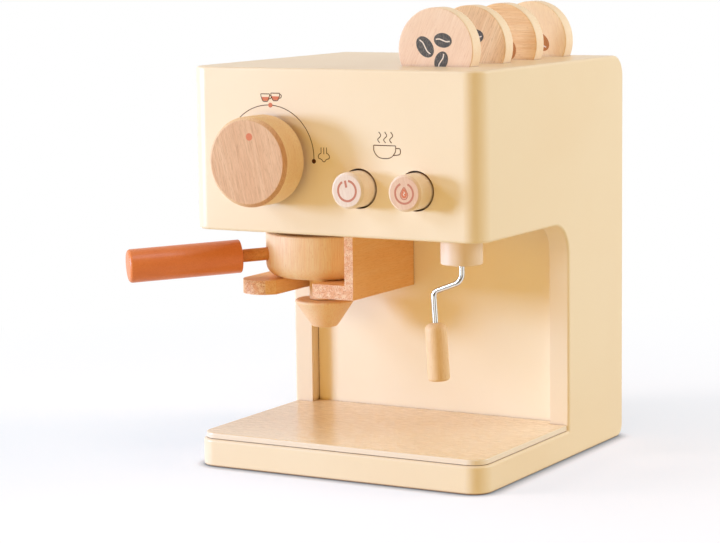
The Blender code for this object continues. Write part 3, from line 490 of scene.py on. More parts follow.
class Finishes:
    """Every finish of the toy, each made once and shared by its pieces."""

    def __init__(self) -> None:
        """Describe the finishes that need no choice."""
        self._made: dict[str, bpy.types.Material] = {}
        self.paint = PaintFinish("cream_paint_satin", "cream_paint", (249, 228, 199), (248, 225, 194))
        # Painted light: a lighter, yellower copy of the same cream paint for the bay's back wall.
        self.lit_wall_paint = PaintFinish("cream_paint_bay_painted_light", "cream_paint", (255, 238, 209), (254, 235, 204))
        # Painted shade: a darker copy of the same cream paint for the boss under the head.
        self.shaded_boss_paint = PaintFinish("cream_paint_boss_painted_shade", "cream_paint", (242, 214, 188), (240, 210, 182),
                                      roughness=(0.38, 0.47))
        self.tray = WoodFinish("tray_wood", "tray_plywood", Tone.TRAY, Grain.ALONG_X, 0.16, 0.06, 0.0, 0.12,
                               (0.21, 0.36), coat=0.4, ripple=0.015, edge=Tone.TRAY_EDGE, edge_axis="Z")
        self.stain = WoodFinish("stained_handle_wood", "stained_beech", Tone.STAINED, Grain.ALONG_HANDLE,
                                0.5, 0.4, 0.2, roughness=(0.35, 0.50), coat=0.25)
        self.shaft = WoodFinish("stained_shaft_wood", "stained_beech", Tone.STAINED_DARK, Grain.ALONG_HANDLE,
                                0.7, 0.7, 0.5, roughness=(0.50, 0.65))
        self.steel = SteelFinish("bright_steel_drawn", "bright_steel", (246, 244, 238))
        self.dark_ink = InkFinish("brown_print", "cream_paint", (82, 42, 14), (104, 62, 30))
        self.salmon_ink = InkFinish("salmon_print", "cream_paint", (220, 130, 98), (226, 146, 116))
        self.bean_ink = InkFinish("bean_print", "pale_beech", (64, 58, 50), (138, 124, 106), 1500.0, 0.5)
        self.roast_ink = InkFinish("roast_print", "pale_beech", (186, 122, 72), (204, 146, 96))
        self.crease_ink = InkFinish("bean_crease_print", "pale_beech", (240, 226, 210), (232, 212, 192))
        self.rose_ink = InkFinish("rose_print", "pale_beech", (204, 132, 112), (212, 148, 128))

    def beech(self, grain: Grain, tone: Tone = Tone.BRACKET, ends: Tone | None = None) -> WoodFinish:
        """Return oiled beech with fibres along a direction."""
        name = f"beech_{tone.name.lower()}_{grain.name.lower()}"
        return WoodFinish(name, "beech", tone, grain, ends=ends)

    def pale(self, grain: Grain, tone: Tone = Tone.KNOB) -> WoodFinish:
        """Return pale sanded beech with fibres along a direction and its own tone on the turned edge; the
        knob's chamfer also gets painted shade on its lower right.
        """
        name = f"pale_{tone.name.lower()}_{grain.name.lower()}"
        if tone is Tone.KNOB:
            return WoodFinish(name, "pale_beech", tone, grain, 0.7, 0.7, 0.5, 0.55, edge=Tone.GOLD_RIM,
                              arris_shade=Tone.ARRIS_SHADE)
        return WoodFinish(name, "pale_beech", tone, grain, edge=Tone.PALE_RIM)

    def material(self, finish: Finish) -> bpy.types.Material:
        """Return a finish's material, made at its first use."""
        if finish.name not in self._made:
            self._made[finish.name] = finish.build()
        return self._made[finish.name]


# Making pieces


def tidy_normals(bm: bmesh.types.BMesh) -> None:
    """Merge doubles and point all faces outwards."""
    bmesh.ops.remove_doubles(bm, verts=bm.verts, dist=MERGED)
    bmesh.ops.recalc_face_normals(bm, faces=bm.faces)


def round_corner(bm: bmesh.types.BMesh, vert: bmesh.types.BMVert, radius: float, angle: float, segments: int
                 ) -> None:
    """Round one corner of a flat line or face, whose arms meet at an angle."""
    bmesh.ops.bevel(bm, geom=[vert], offset=radius / math.tan(angle / 2), offset_type="OFFSET",
                    segments=segments, profile=0.5, affect="VERTICES", material=-1)


def outline_face(bm: bmesh.types.BMesh, places: Sequence[Sequence[float]], radii: Sequence[float],
                 segments: int) -> None:
    """Make a flat face with rounded corners.

    Args:
        bm: The mesh that takes the face.
        places: The face's corners, in order.
        radii: One radius for each corner, or zero.
        segments: Segments in each rounding.
    """
    verts = [bm.verts.new(place) for place in places]
    bm.faces.new(verts)
    spots = [vert.co.copy() for vert in verts]
    for index, (vert, radius) in enumerate(zip(verts, radii)):
        if radius > 0:
            back = spots[index - 1] - spots[index]
            ahead = spots[(index + 1) % len(spots)] - spots[index]
            round_corner(bm, vert, radius, back.angle(ahead), segments)


def shade(mesh: bpy.types.Mesh) -> None:
    """Shade a mesh smooth over its roundings."""
    mesh.shade_smooth()
    mesh.set_sharp_from_angle(angle=SMOOTH_ANGLE)


def piece_from(name: str, bm: bmesh.types.BMesh, place: Matrix | None = None) -> bpy.types.Object:
    """Turn a mesh into an object at the origin.

    Args:
        name: The piece's name.
        bm: The mesh, which is freed.
        place: Where the mesh goes.

    Returns:
        The linked object, shaded smooth over its roundings.
    """
    if place is not None:
        bm.transform(place)
    mesh = bpy.data.meshes.new(name)
    bm.to_mesh(mesh)
    bm.free()
    shade(mesh)
    piece = bpy.data.objects.new(name, mesh)
    bpy.context.scene.collection.objects.link(piece)
    return piece


def turned_piece(name: str, corners: Sequence[Corner], place: Matrix, steps: int = 96, segments: int = 6
                 ) -> bpy.types.Object:
    """Spin a rounded profile about Z.

    Args:
        name: The piece's name.
        corners: Closed profile as radius, height and rounding.
        place: Where the turning goes.
        steps: Steps in the full turn.
        segments: Segments in each rounding.

    Returns:
        The turned piece.
    """
    bm = bmesh.new()
    outline_face(bm, [(radius, 0.0, height) for radius, height, _ in corners],
                 [corner[2] for corner in corners], segments)
    bmesh.ops.delete(bm, geom=bm.faces[:], context="FACES_ONLY")
    axis_edges = [edge for edge in bm.edges if all(abs(vert.co.x) < MERGED for vert in edge.verts)]
    bmesh.ops.delete(bm, geom=axis_edges, context="EDGES")
    bmesh.ops.spin(bm, geom=bm.verts[:] + bm.edges[:], cent=(0, 0, 0), axis=(0, 0, 1), angle=math.tau,
                   steps=steps, use_merge=True)
    tidy_normals(bm)
    return piece_from(name, bm, place)


def board_mesh(corners: Sequence[Corner], axis: str, low: float, high: float, segments: int = 8
               ) -> bmesh.types.BMesh:
    """Extrude a rounded outline into a board.

    Args:
        corners: Outline as two coordinates and a rounding, in the order of the two other axes.
        axis: "X", "Y" or "Z", the direction of the extrusion.
        low: Where the board starts on that axis.
        high: Where it ends.
        segments: Segments in each rounded corner.

    Returns:
        A closed mesh.
    """
    order = {"X": (2, 0, 1), "Y": (0, 2, 1), "Z": (0, 1, 2)}[axis]
    bm = bmesh.new()
    places = [[(u, v, low)[place] for place in order] for u, v, _ in corners]
    outline_face(bm, places, [corner[2] for corner in corners], segments)
    pushed = bmesh.ops.extrude_face_region(bm, geom=bm.faces[:])
    shift = Vector([1.0 if name == axis else 0.0 for name in "XYZ"]) * (high - low)
    bmesh.ops.translate(bm, verts=[item for item in pushed["geom"] if isinstance(item, bmesh.types.BMVert)],
                        vec=shift)
    tidy_normals(bm)
    return bm


def box_corners(low: Point, high: Point, radius: float = 0.0) -> list[Corner]:
    """Return a rectangle's corners, all with one rounding."""
    return [(low[0], low[1], radius), (high[0], low[1], radius), (high[0], high[1], radius),
            (low[0], high[1], radius)]


def soften(bm: bmesh.types.BMesh, offset: float, segments: int = 3,
           choose: Callable[[bmesh.types.BMEdge], bool] | None = None) -> None:
    """Round the sharp edges of a mesh.

    Args:
        bm: The mesh.
        offset: Size of the rounding.
        segments: Segments in it.
        choose: Test that an edge also has to pass.
    """
    edges = []
    for edge in bm.edges:
        if len(edge.link_faces) != 2 or edge.calc_face_angle(0.0) < EDGE_ANGLE:
            continue
        if choose is None or choose(edge):
            edges.append(edge)
    bmesh.ops.bevel(bm, geom=edges, offset=offset, offset_type="OFFSET", segments=segments, profile=0.5,
                    affect="EDGES", clamp_overlap=True, material=-1)
    tidy_normals(bm)


def swept_mesh(paths: Sequence[Sequence[Sequence[float]]], radius: float, resolution: int,
               closed: bool = False) -> bmesh.types.BMesh:
    """Sweep a round section along lines.

    Args:
        paths: Points of each line.
        radius: Radius of the section.
        resolution: How finely the section is divided.
        closed: Whether each line ends where it starts.

    Returns:
        A closed mesh with flat ends.
    """
    curve = bpy.data.curves.new("swept_line", "CURVE")
    curve.dimensions = "3D"
    curve.bevel_depth = radius
    curve.bevel_resolution = resolution
    curve.use_fill_caps = True
    for path in paths:
        spline = curve.splines.new("POLY")
        spline.points.add(len(path) - 1)
        for point, spot in zip(spline.points, path):
            point.co = (*spot, 1.0)
        spline.use_cyclic_u = closed
    holder = bpy.data.objects.new("swept_line", curve)
    bpy.context.scene.collection.objects.link(holder)
    bpy.context.view_layer.update()
    mesh = bpy.data.meshes.new_from_object(holder.evaluated_get(bpy.context.evaluated_depsgraph_get()))
    bpy.data.objects.remove(holder, do_unlink=True)
    bm = bmesh.new()
    bm.from_mesh(mesh)
    bpy.data.meshes.remove(mesh)
    tidy_normals(bm)
    return bm


def weigh_normals(piece: bpy.types.Object) -> None:
    """Keep flat faces flat beside their rounded edges."""
    modifier = piece.modifiers.new("even shading", "WEIGHTED_NORMAL")
    modifier.keep_sharp = True
    modifier.weight = 80


def carve(piece: bpy.types.Object, cutters: Sequence[bpy.types.Object], operation: str = "DIFFERENCE"
          ) -> None:
    """Cut holes or slots out of a piece, and remove the cutters.

    Args:
        piece: The piece to cut.
        cutters: Closed shapes to take away.
        operation: "DIFFERENCE" to cut, or "UNION" to join.
    """
    for cutter in cutters:
        modifier = piece.modifiers.new(cutter.name, "BOOLEAN")
        modifier.operation = operation
        modifier.solver = "EXACT"
        modifier.object = cutter
    bpy.context.view_layer.update()
    evaluated = piece.evaluated_get(bpy.context.evaluated_depsgraph_get())
    mesh = bpy.data.meshes.new_from_object(evaluated)
    piece.modifiers.clear()
    old = piece.data
    piece.data = mesh
    bpy.data.meshes.remove(old)
    for cutter in cutters:
        bpy.data.objects.remove(cutter, do_unlink=True)


def rework(piece: bpy.types.Object, work: Callable[[bmesh.types.BMesh], None]) -> None:
    """Finish the edges of a piece that was cut or joined, and shade it anew.

    Args:
        piece: The piece.
        work: What is done to its mesh.
    """
    bm = bmesh.new()
    bm.from_mesh(piece.data)
    bmesh.ops.remove_doubles(bm, verts=bm.verts, dist=NEAR)
    work(bm)
    bm.to_mesh(piece.data)
    bm.free()
    shade(piece.data)
    weigh_normals(piece)


def facing(side: Facing, place: Sequence[float]) -> Matrix:
    """Return the place of a piece whose own +Z looks out on a side."""
    return Matrix.Translation(place) @ Matrix.Rotation(side.value, 4, "X")


def rod_cutter(name: str, radius: float, low: float, high: float, place: Matrix, steps: int = 64
               ) -> bpy.types.Object:
    """Return a plain round cutter along its own Z."""
    bm = bmesh.new()
    bmesh.ops.create_cone(bm, cap_ends=True, segments=steps, radius1=radius, radius2=radius, depth=high - low)
    bmesh.ops.translate(bm, verts=bm.verts, vec=(0, 0, (low + high) / 2))
    return piece_from(name, bm, place)


def block_cutter(name: str, low: Sequence[float], high: Sequence[float], radius: float = 0.0
                 ) -> bpy.types.Object:
    """Return a box cutter, with its upright edges rounded if asked."""
    return piece_from(name, board_mesh(box_corners(low[:2], high[:2], radius), "Z", low[2], high[2], 4))


# Drawing prints


def moved(points: Iterable[Point], place: Point) -> list[Point]:
    """Return points moved across their plane."""
    return [(place[0] + u, place[1] + v) for u, v in points]


def mirrored(points: Sequence[Point], tip: Point) -> list[Point]:
    """Return points, a tip in the middle, and the points mirrored on the way back."""
    return [*points, tip, *[(-u, v) for u, v in reversed(points)]]


def bow(centre: Point, radius: float, start: float, end: float, steps: int = 48) -> list[Point]:
    """Return points along an arc, with its angles in degrees."""
    points = []
    for step in range(steps + 1):
        angle = math.radians(start + (end - start) * step / steps)
        points.append((centre[0] + radius * math.cos(angle), centre[1] + radius * math.sin(angle)))
    return points


def smooth_path(points: Sequence[Point], closed: bool = False, steps: int = 8) -> list[Point]:
    """Return a soft line through a few points."""
    count = len(points)
    path: list[Point] = []
    spans = count if closed else count - 1
    for index in range(spans):
        before = Vector(points[(index - 1) % count] if closed or index > 0 else points[0])
        first = Vector(points[index])
        second = Vector(points[(index + 1) % count])
        after = Vector(points[(index + 2) % count] if closed or index + 2 < count else points[-1])
        for step in range(steps):
            t = step / steps
            spot = 0.5 * ((2 * first) + (second - before) * t
                          + (2 * before - 5 * first + 4 * second - after) * t * t
                          + (3 * first - before - 3 * second + after) * t * t * t)
            path.append((spot.x, spot.y))
    if not closed:
        path.append(tuple(points[-1]))
    return path


@dataclass
class Pen:
    """Draws flat prints on the plane whose own +Z looks out at a place."""

    place: Matrix
    lift: float = 0.00006
    gap: float = 0.00001

    def lines(self, name: str, paths: Sequence[Sequence[Point]], width: float, closed: bool = False,
              height: float = 0.0) -> bpy.types.Object:
        """Print strokes of one width.

        Args:
            name: The piece's name.
            paths: Points of each stroke on the plane.
            width: Width of the strokes.
            closed: Whether each stroke ends where it starts.
            height: How far the print lies above others.

        Returns:
            One piece with all strokes.
        """
        bm = swept_mesh([[(u, v, 0.0) for u, v in path] for path in paths], width / 2, 1, closed)
        bmesh.ops.scale(bm, verts=bm.verts, vec=(1, 1, self.lift / width))
        bmesh.ops.translate(bm, verts=bm.verts, vec=(0, 0, self.lift / 2 + self.gap + height))
        return piece_from(name, bm, self.place)

    def fills(self, name: str, spots: Sequence[tuple[Point, Point, float]], height: float = 0.0
              ) -> bpy.types.Object:
        """Print filled ovals.

        Args:
            name: The piece's name.
            spots: Centre, half sizes and turn of each oval.
            height: How far the print lies above others.

        Returns:
            One piece with all ovals.
        """
        bm = bmesh.new()
        for (u, v), (half_u, half_v), turn in spots:
            made = bmesh.ops.create_cone(bm, cap_ends=True, segments=40, radius1=1.0, radius2=1.0,
                                         depth=self.lift)
            matrix = (Matrix.Translation((u, v, self.lift / 2 + self.gap + height))
                      @ Matrix.Rotation(turn, 4, "Z") @ Matrix.Diagonal((half_u, half_v, 1.0, 1.0)))
            bmesh.ops.transform(bm, matrix=matrix, verts=made["verts"])
        tidy_normals(bm)
        return piece_from(name, bm, self.place)

    def patch(self, name: str, outline: Sequence[Point]) -> bpy.types.Object:
        """Print one filled shape with an outline on the plane."""
        bm = board_mesh([(u, v, 0.0) for u, v in outline], "Z", self.gap, self.lift)
        return piece_from(name, bm, self.place)


@dataclass
class SubAssembly:
    """Sub-assembly whose pieces take their looks from the toy's shared finishes."""

    finishes: Finishes

    def put(self, piece: bpy.types.Object, finish: Finish, body: str, *replaced: str) -> None:
        """Dress a piece, let it ride on its body and hide the nodes that it stands for.

        Args:
            piece: The piece, in place.
            finish: The piece's finish.
            body: The body that carries it.
            *replaced: Nodes that it stands for.
        """
        piece.data.materials.clear()
        piece.data.materials.append(self.finishes.material(finish))
        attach(piece, body)
        if replaced:
            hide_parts(*replaced)
        log.info("%s rides on %s as %s", piece.name, body, finish.name)


@dataclass
class Housing(SubAssembly):
    """Painted housing: one shell of sides, front, top and base, with its rear panel."""

    half_width: float = 0.090
    front: float = FRONT
    back: float = 0.0915
    height: float = 0.224
    head_bottom: float = 0.134
    base_top: float = 0.0157
    column_front: float = 0.0165
    inside: float = 0.078
    front_back: float = -0.0795
    top_bottom: float = 0.212
    plan_radius: float = 0.011
    bay_radius: float = 0.018
    rear_top_radius: float = 0.012
    rear_bottom_radius: float = 0.007
    arris_shade: float = 0.0016
    column_arris: float = 0.0011
    rim_arris: float = 0.0004
    cover_radius: float = 0.0008
    cover_arris: float = 0.0005
    dial: Point = DIAL
    dial_hole: float = 0.0054
    buttons: tuple[float, float] = BUTTONS
    button_height: float = BUTTON_HEIGHT
    button_hole: float = 0.01075
    pod_x: float = POD_X
    pod_half_length: float = 0.0212
    pod_fronts: tuple[float, ...] = POD_FRONTS
    pod_thickness: float = POD_THICKNESS
    pod_gap: float = 0.0006
    rim_reach: float = 0.0225
    slot_radius: float = 0.0006
    hole_depth: float = 0.02
    overrun: float = 0.01
    head_overlap: float = 0.02
    column_overlap: float = 0.03
    room_overlap: float = 0.004

    def outline(self) -> list[Corner]:
        """Return the side view: base, column and head, with their roundings."""
        return [
            (self.front, 0.0, 0.0),
            (self.back, 0.0, self.rear_bottom_radius),
            (self.back, self.height, self.rear_top_radius),
            (self.front, self.height, 0.0),
            (self.front, self.head_bottom, 0.0),
            (self.column_front, self.head_bottom, self.bay_radius),
            (self.column_front, self.base_top, 0.0),
            (self.front, self.base_top, 0.0),
        ]

    def _front_corner(self, edge: bmesh.types.BMEdge) -> bool:
        """Return whether an edge is an upright front corner."""
        first, second = (vert.co for vert in edge.verts)
        upright = abs(first.x - second.x) < NEAR and abs(first.y - second.y) < NEAR
        return upright and abs(first.y - self.front) < NEAR

    def _column_corner(self, edge: bmesh.types.BMEdge) -> bool:
        """Return whether an edge is an inner corner of the column beside the bay."""
        for vert in edge.verts:
            x, y, z = vert.co
            if abs(abs(x) - self.inside) > BESIDE or y > self.column_front + BESIDE:
                return False
            if z > self.head_bottom + NEAR or z < self.base_top - NEAR:
                return False
        middle = (edge.verts[0].co + edge.verts[1].co) / 2
        return middle.y > self.column_front - self.bay_radius and middle.z < self.head_bottom - 2 * BESIDE

    def _rim(self, edge: bmesh.types.BMEdge) -> bool:
        """Return whether an edge is the rim of a slot or of a button's hole."""
        ends = [vert.co for vert in edge.verts]
        if all(abs(co.y - self.front) < NEAR for co in ends):
            middle = (ends[0] + ends[1]) / 2
            reach = min(math.hypot(middle.x - x, middle.z - self.button_height) for x in self.buttons)
            return reach < self.button_hole + self.rim_arris
        return all(abs(co.z - self.height) < NEAR and abs(co.x - self.pod_x) < self.rim_reach for co in ends)

    def cutters(self) -> list[bpy.types.Object]:
        """Return what is cut out of the solid outline."""
        past = self.back + self.overrun
        room_front = self.column_front - self.column_overlap
        shapes = [
            block_cutter("head_room", (-self.inside, self.front_back, self.head_bottom - self.head_overlap),
                         (self.inside, past, self.top_bottom)),
            block_cutter("column_room", (-self.inside, room_front, self.base_top),
                         (self.inside, past, self.head_bottom + self.room_overlap)),
        ]
        look = facing(Facing.FRONT, (self.dial[0], self.front, self.dial[1]))
        shapes.append(rod_cutter("dial_hole", self.dial_hole, -self.hole_depth, self.overrun, look))
        for index, x in enumerate(self.buttons):
            look = facing(Facing.FRONT, (x, self.front, self.button_height))
            shapes.append(rod_cutter(f"button_hole_{index}", self.button_hole, -self.hole_depth,
                                     self.overrun, look, 96))
        for index, front in enumerate(self.pod_fronts):
            low = (self.pod_x - self.pod_half_length, front - self.pod_gap, self.top_bottom - self.overrun)
            high = (self.pod_x + self.pod_half_length, front + self.pod_thickness + self.pod_gap,
                    self.height + self.overrun)
            shapes.append(block_cutter(f"pod_slot_{index}", low, high, self.slot_radius))
        return shapes

    def _soften_shell(self, bm: bmesh.types.BMesh) -> None:
        """Round the edges that the cutters left."""
        soften(bm, self.column_arris, 3, self._column_corner)
        soften(bm, self.rim_arris, 2, self._rim)

    def build_shell(self) -> None:
        """Build the painted shell."""
        bm = board_mesh(self.outline(), "X", -self.half_width, self.half_width, 12)
        soften(bm, self.plan_radius, 10, self._front_corner)
        soften(bm, self.arris_shade, 4)
        shell = piece_from("housing_shell", bm)
        carve(shell, self.cutters())
        rework(shell, self._soften_shell)
        self.put(shell, self.finishes.paint, "housing", "left_side_panel", "right_side_panel", "front_panel",
                 "top_panel", "base_board")

    def build_rear(self) -> None:
        """Build the rear panel with countersunk holes, and its four screws."""
        low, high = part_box("rear_panel")
        corners = box_corners((low.x, low.z), (high.x, high.z), self.cover_radius)
        bm = board_mesh(corners, "Y", low.y, high.y, 3)
        soften(bm, self.cover_arris, 2)
        panel = piece_from("rear_cover", bm)
        screw = Screw(self.finishes)
        places = []
        for index in range(1, 5):
            near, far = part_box(f"rear_screw_{index}")
            places.append(((near.x + far.x) / 2, high.y, (near.z + far.z) / 2))
        carve(panel, [screw.hole(f"rear_hole_{index}", place) for index, place in enumerate(places)])
        weigh_normals(panel)
        self.put(panel, self.finishes.paint, "housing", "rear_panel")
        for index, place in enumerate(places, start=1):
            screw.build(f"rear_fixing_{index}", place, f"rear_screw_{index}")

    def build(self) -> None:
        """Build shell and rear panel."""
        self.build_shell()
        self.build_rear()


@dataclass
class Screw(SubAssembly):
    """Countersunk wood screw with a crossed recess."""

    head: float = 0.0034
    head_depth: float = 0.0026
    head_rim: float = 0.0002
    shank: float = 0.0015
    length: float = 0.016
    point: float = 0.003
    point_share: float = 0.8
    neck_share: float = 1.4
    neck_radius: float = 0.0003
    rounding: float = 0.0001
    recess: float = 0.0019
    recess_width: float = 0.0007
    recess_depth: float = 0.0014
    recess_turn: float = 0.4
    gap: float = 0.0002
    hole_depth: float = 0.02
    hole_overrun: float = 0.003

    def hole(self, name: str, place: Sequence[float]) -> bpy.types.Object:
        """Return the cutter of the screw's countersunk hole."""
        shank = self.shank + self.gap
        head = self.head + self.gap
        corners = [(0, -self.hole_depth, 0), (shank, -self.hole_depth, 0),
                   (shank, -self.head_depth - self.gap, 0), (head, -self.gap, 0),
                   (head, self.hole_overrun, 0), (0, self.hole_overrun, 0)]
        return turned_piece(name, corners, facing(Facing.BACK, place), 48)

    def build(self, name: str, place: Sequence[float], node: str) -> None:
        """Build one screw with its head's face at a place on the back."""
        corners = [(0, -self.length, 0), (self.shank * self.point_share, self.point - self.length, 0),
                   (self.shank, -self.head_depth * self.neck_share, 0),
                   (self.shank, -self.head_depth, self.neck_radius),
                   (self.head, -self.head_rim, self.rounding), (self.head, 0, self.rounding), (0, 0, 0)]
        look = facing(Facing.BACK, place)
        piece = turned_piece(name, corners, look, 48, 3)
        bar = (self.recess * 2, self.recess_width, self.recess_depth * 2)
        slots = []
        for index, turn in enumerate((self.recess_turn, self.recess_turn + math.pi / 2)):
            bm = bmesh.new()
            bmesh.ops.create_cube(bm, size=1.0)
            bmesh.ops.scale(bm, verts=bm.verts, vec=bar)
            slots.append(piece_from(f"{name}_slot_{index}", bm, look @ Matrix.Rotation(turn, 4, "Z")))
        carve(piece, slots)
        self.put(piece, self.finishes.steel, "housing", node)


@dataclass
class Tray(SubAssembly):
    """Wooden sheet on the base, with a tongue between the columns."""

    half_width: float = 0.0885
    front: float = -0.0900
    column: float = BOARD_STEP
    tongue: float = BOARD_TONGUE
    back: float = BOARD_BACK
    bottom: float = 0.0160
    top: float = 0.0191
    corner: float = 0.0095
    arris_shade: float = 0.0009

    def build(self) -> None:
        """Build the tray."""
        corners = [
            (-self.half_width, self.front, self.corner),
            (self.half_width, self.front, self.corner),
            (self.half_width, self.column, 0.0),
            (self.tongue, self.column, 0.0),
            (self.tongue, self.back, 0.0),
            (-self.tongue, self.back, 0.0),
            (-self.tongue, self.column, 0.0),
            (-self.half_width, self.column, 0.0),
        ]
        bm = board_mesh(corners, "Z", self.bottom, self.top, 12)
        soften(bm, self.arris_shade, 3, lambda edge: all(vert.co.z > self.top - NEAR for vert in edge.verts))
        piece = piece_from("tray_sheet", bm)
        weigh_normals(piece)
        self.put(piece, self.finishes.tray, "housing", "drip_tray")


@dataclass
class Bracket(SubAssembly):
    """Fork plate under the head, and the wall that stands on it beside the cup."""

    spout: Point = SPOUT
    slot_half: float = 0.0129
    left: float = -0.0888
    right: float = -0.0126
    wall_left: float = -0.0181
    front: float = -0.0475
    tip_front: float = -0.0505
    tip_radius: float = 0.013
    column: float = BOARD_STEP
    inside: float = BOARD_TONGUE
    back: float = BOARD_BACK
    bottom: float = 0.0923
    top: float = 0.1003
    facet: float = 0.004
    facet_rise: float = 0.0042
    corner: float = 0.0004
    rear_corner: float = 0.0005
    arris_shade: float = 0.0007

    def outline(self) -> list[Corner]:
        """Return the plate seen from above."""
        slot_left = self.spout[0] - self.slot_half
        slot_right = self.spout[0] + self.slot_half
        tip = (self.left + self.tip_radius, self.tip_front + self.tip_radius)
        reach = math.acos((slot_left - self.facet - tip[0]) / self.tip_radius)
        facet_y = tip[1] - self.tip_radius * math.sin(reach) + self.facet_rise
        corners: list[Corner] = [(self.right, self.front, self.corner), (self.right, self.back, 0.0),
                                 (-self.inside, self.back, 0.0), (-self.inside, self.column, 0.0),
                                 (self.left, self.column, self.rear_corner)]
        tip_arc = bow(tip, self.tip_radius, 180.0, 360.0 - math.degrees(reach), 28)
        corners += [(u, v, 0.0) for u, v in tip_arc]
        corners.append((slot_left, facet_y, self.corner))
        corners += [(u, v, 0.0) for u, v in bow(self.spout, self.slot_half, 180.0, 0.0, 36)]
        corners.append((slot_right, self.front, self.corner))
        return corners

    def _soften_joint(self, bm: bmesh.types.BMesh) -> None:
        """Clean the glued joint and round the outer edges."""
        bmesh.ops.dissolve_limit(bm, angle_limit=math.radians(0.5), verts=bm.verts, edges=bm.edges)
        soften(bm, self.arris_shade, 3, lambda edge: edge.is_convex)

    def build(self) -> None:
        """Build plate and wall, glued up as one piece without a seam."""
        bracket = piece_from("fork_bracket", board_mesh(self.outline(), "Z", self.bottom, self.top, 3))
        _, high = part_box("bracket_wall")
        middle = (self.bottom + self.top) / 2
        corners = box_corners((self.wall_left, middle), (self.right, high.z))
        bm = board_mesh(corners, "Y", self.front, high.y)
        carve(bracket, [piece_from("bracket_upright", bm)], "UNION")
        rework(bracket, self._soften_joint)
        self.put(bracket, self.finishes.beech(Grain.ALONG_Y, Tone.BRACKET, Tone.BRACKET_END), "housing",
                 "bracket_plate", "bracket_wall")


@dataclass
class Portafilter(SubAssembly):
    """Turned cup with its shaft and stained handle."""

    place: Place = (*SPOUT, 0.1006)
    radius: float = 0.0333
    height: float = 0.0253
    wall: float = 0.0053
    floor: float = 0.009
    bottom_radius: float = 0.008
    rim_radius: float = 0.001
    floor_radius: float = 0.004
    shaft_radius: float = 0.0037
    shaft_height: float = 0.01506
    shaft_start: float = 0.0006
    shaft_depth: float = 0.018
    shaft_edge: float = 0.0005
    bore_gap: float = 0.0001
    bore_start: float = 0.004
    bore_overrun: float = 0.005
    handle_near: float = 0.0492
    handle_length: float = 0.0649
    handle_radius: float = 0.00956
    handle_gap: float = 0.0003
    bore_edge: float = 0.0003
    near_radius: float = 0.0008
    far_radius: float = 0.0019
    angle: float = math.radians(224.0)
    droop: float = math.radians(2.63)

    def _handle_place(self) -> Matrix:
        """Return the place of the shaft and handle, whose own Z runs outwards."""
        start = Vector(self.place) + Vector((0, 0, self.shaft_height))
        return (Matrix.Translation(start) @ Matrix.Rotation(self.angle, 4, "Z")
                @ Matrix.Rotation(math.pi / 2 + self.droop, 4, "Y"))

    def build_cup(self) -> None:
        """Build the cup, with the hole that takes the shaft."""
        inner = self.radius - self.wall
        corners = [(0, 0, 0), (self.radius, 0, self.bottom_radius),
                   (self.radius, self.height, self.rim_radius), (inner, self.height, self.rim_radius),
                   (inner, self.floor, self.floor_radius), (0, self.floor, 0)]
        cup = turned_piece("cup_body", corners, Matrix.Translation(self.place), 128, 10)
        bore = rod_cutter("cup_bore", self.shaft_radius + self.bore_gap, inner - self.bore_start,
                          self.radius + self.bore_overrun, self._handle_place())
        carve(cup, [bore])
        weigh_normals(cup)
        self.put(cup, self.finishes.beech(Grain.ALONG_Z, Tone.CUP), "portafilter", "portafilter_cup")

    def build_handle(self) -> None:
        """Build shaft and handle."""
        start = self.radius - self.wall + self.shaft_start
        end = self.handle_near + self.shaft_depth
        corners = [(0, start, 0), (self.shaft_radius, start, self.shaft_edge),
                   (self.shaft_radius, end, self.shaft_edge), (0, end, 0)]
        shaft = turned_piece("handle_shaft", corners, self._handle_place(), 48, 2)
        self.put(shaft, self.finishes.shaft, "portafilter", "portafilter_shaft")
        bore = self.shaft_radius + self.handle_gap
        end += self.handle_gap
        far = self.handle_near + self.handle_length
        corners = [(0, end, 0), (bore, end, 0), (bore, self.handle_near, self.bore_edge),
                   (self.handle_radius, self.handle_near, self.near_radius),
                   (self.handle_radius, far, self.far_radius), (0, far, 0)]
        handle = turned_piece("stained_handle", corners, self._handle_place())
        self.put(handle, self.finishes.stain, "portafilter", "portafilter_handle")

    def build(self) -> None:
        """Build cup and handle."""
        self.build_cup()
        self.build_handle()


@dataclass
class Spout(SubAssembly):
    """Neck in the fork's slot and the cone below it."""

    place: Place = (*SPOUT, 0.0)
    neck_radius: float = 0.0085
    tenon_radius: float = 0.004
    tenon: float = 0.0057
    neck_low: float = 0.0868
    neck_high: float = 0.1003
    edge: float = 0.0004
    cone_top: float = 0.0865
    cone_bottom: float = 0.0704
    cone_radius: float = 0.0179
    cone_rim: float = 0.0014
    tip_radius: float = 0.0072
    tip_rounding: float = 0.0030
    socket: float = 0.0043
    socket_rim: float = 0.0003
    socket_depth: float = 0.006

    def build(self) -> None:
        """Build neck and cone."""
        place = Matrix.Translation(self.place)
        wood = self.finishes.beech(Grain.ALONG_Z, Tone.CUP)
        low = self.neck_low - self.tenon
        high = self.neck_high + self.tenon
        corners = [(0, low, 0), (self.tenon_radius, low, self.edge), (self.tenon_radius, self.neck_low, 0),
                   (self.neck_radius, self.neck_low, self.edge),
                   (self.neck_radius, self.neck_high, self.edge), (self.tenon_radius, self.neck_high, 0),
                   (self.tenon_radius, high, self.edge), (0, high, 0)]
        self.put(turned_piece("neck_turning", corners, place, 64, 3), wood, "spout", "spout_neck")
        bottom = self.cone_top - self.socket_depth
        corners = [(0, self.cone_bottom, 0), (self.tip_radius, self.cone_bottom, self.tip_rounding),
                   (self.cone_radius, self.cone_top, self.cone_rim),
                   (self.socket, self.cone_top, self.socket_rim), (self.socket, bottom, 0), (0, bottom, 0)]
        self.put(turned_piece("spout_turning", corners, place, 96, 5), wood, "spout", "spout_cone")


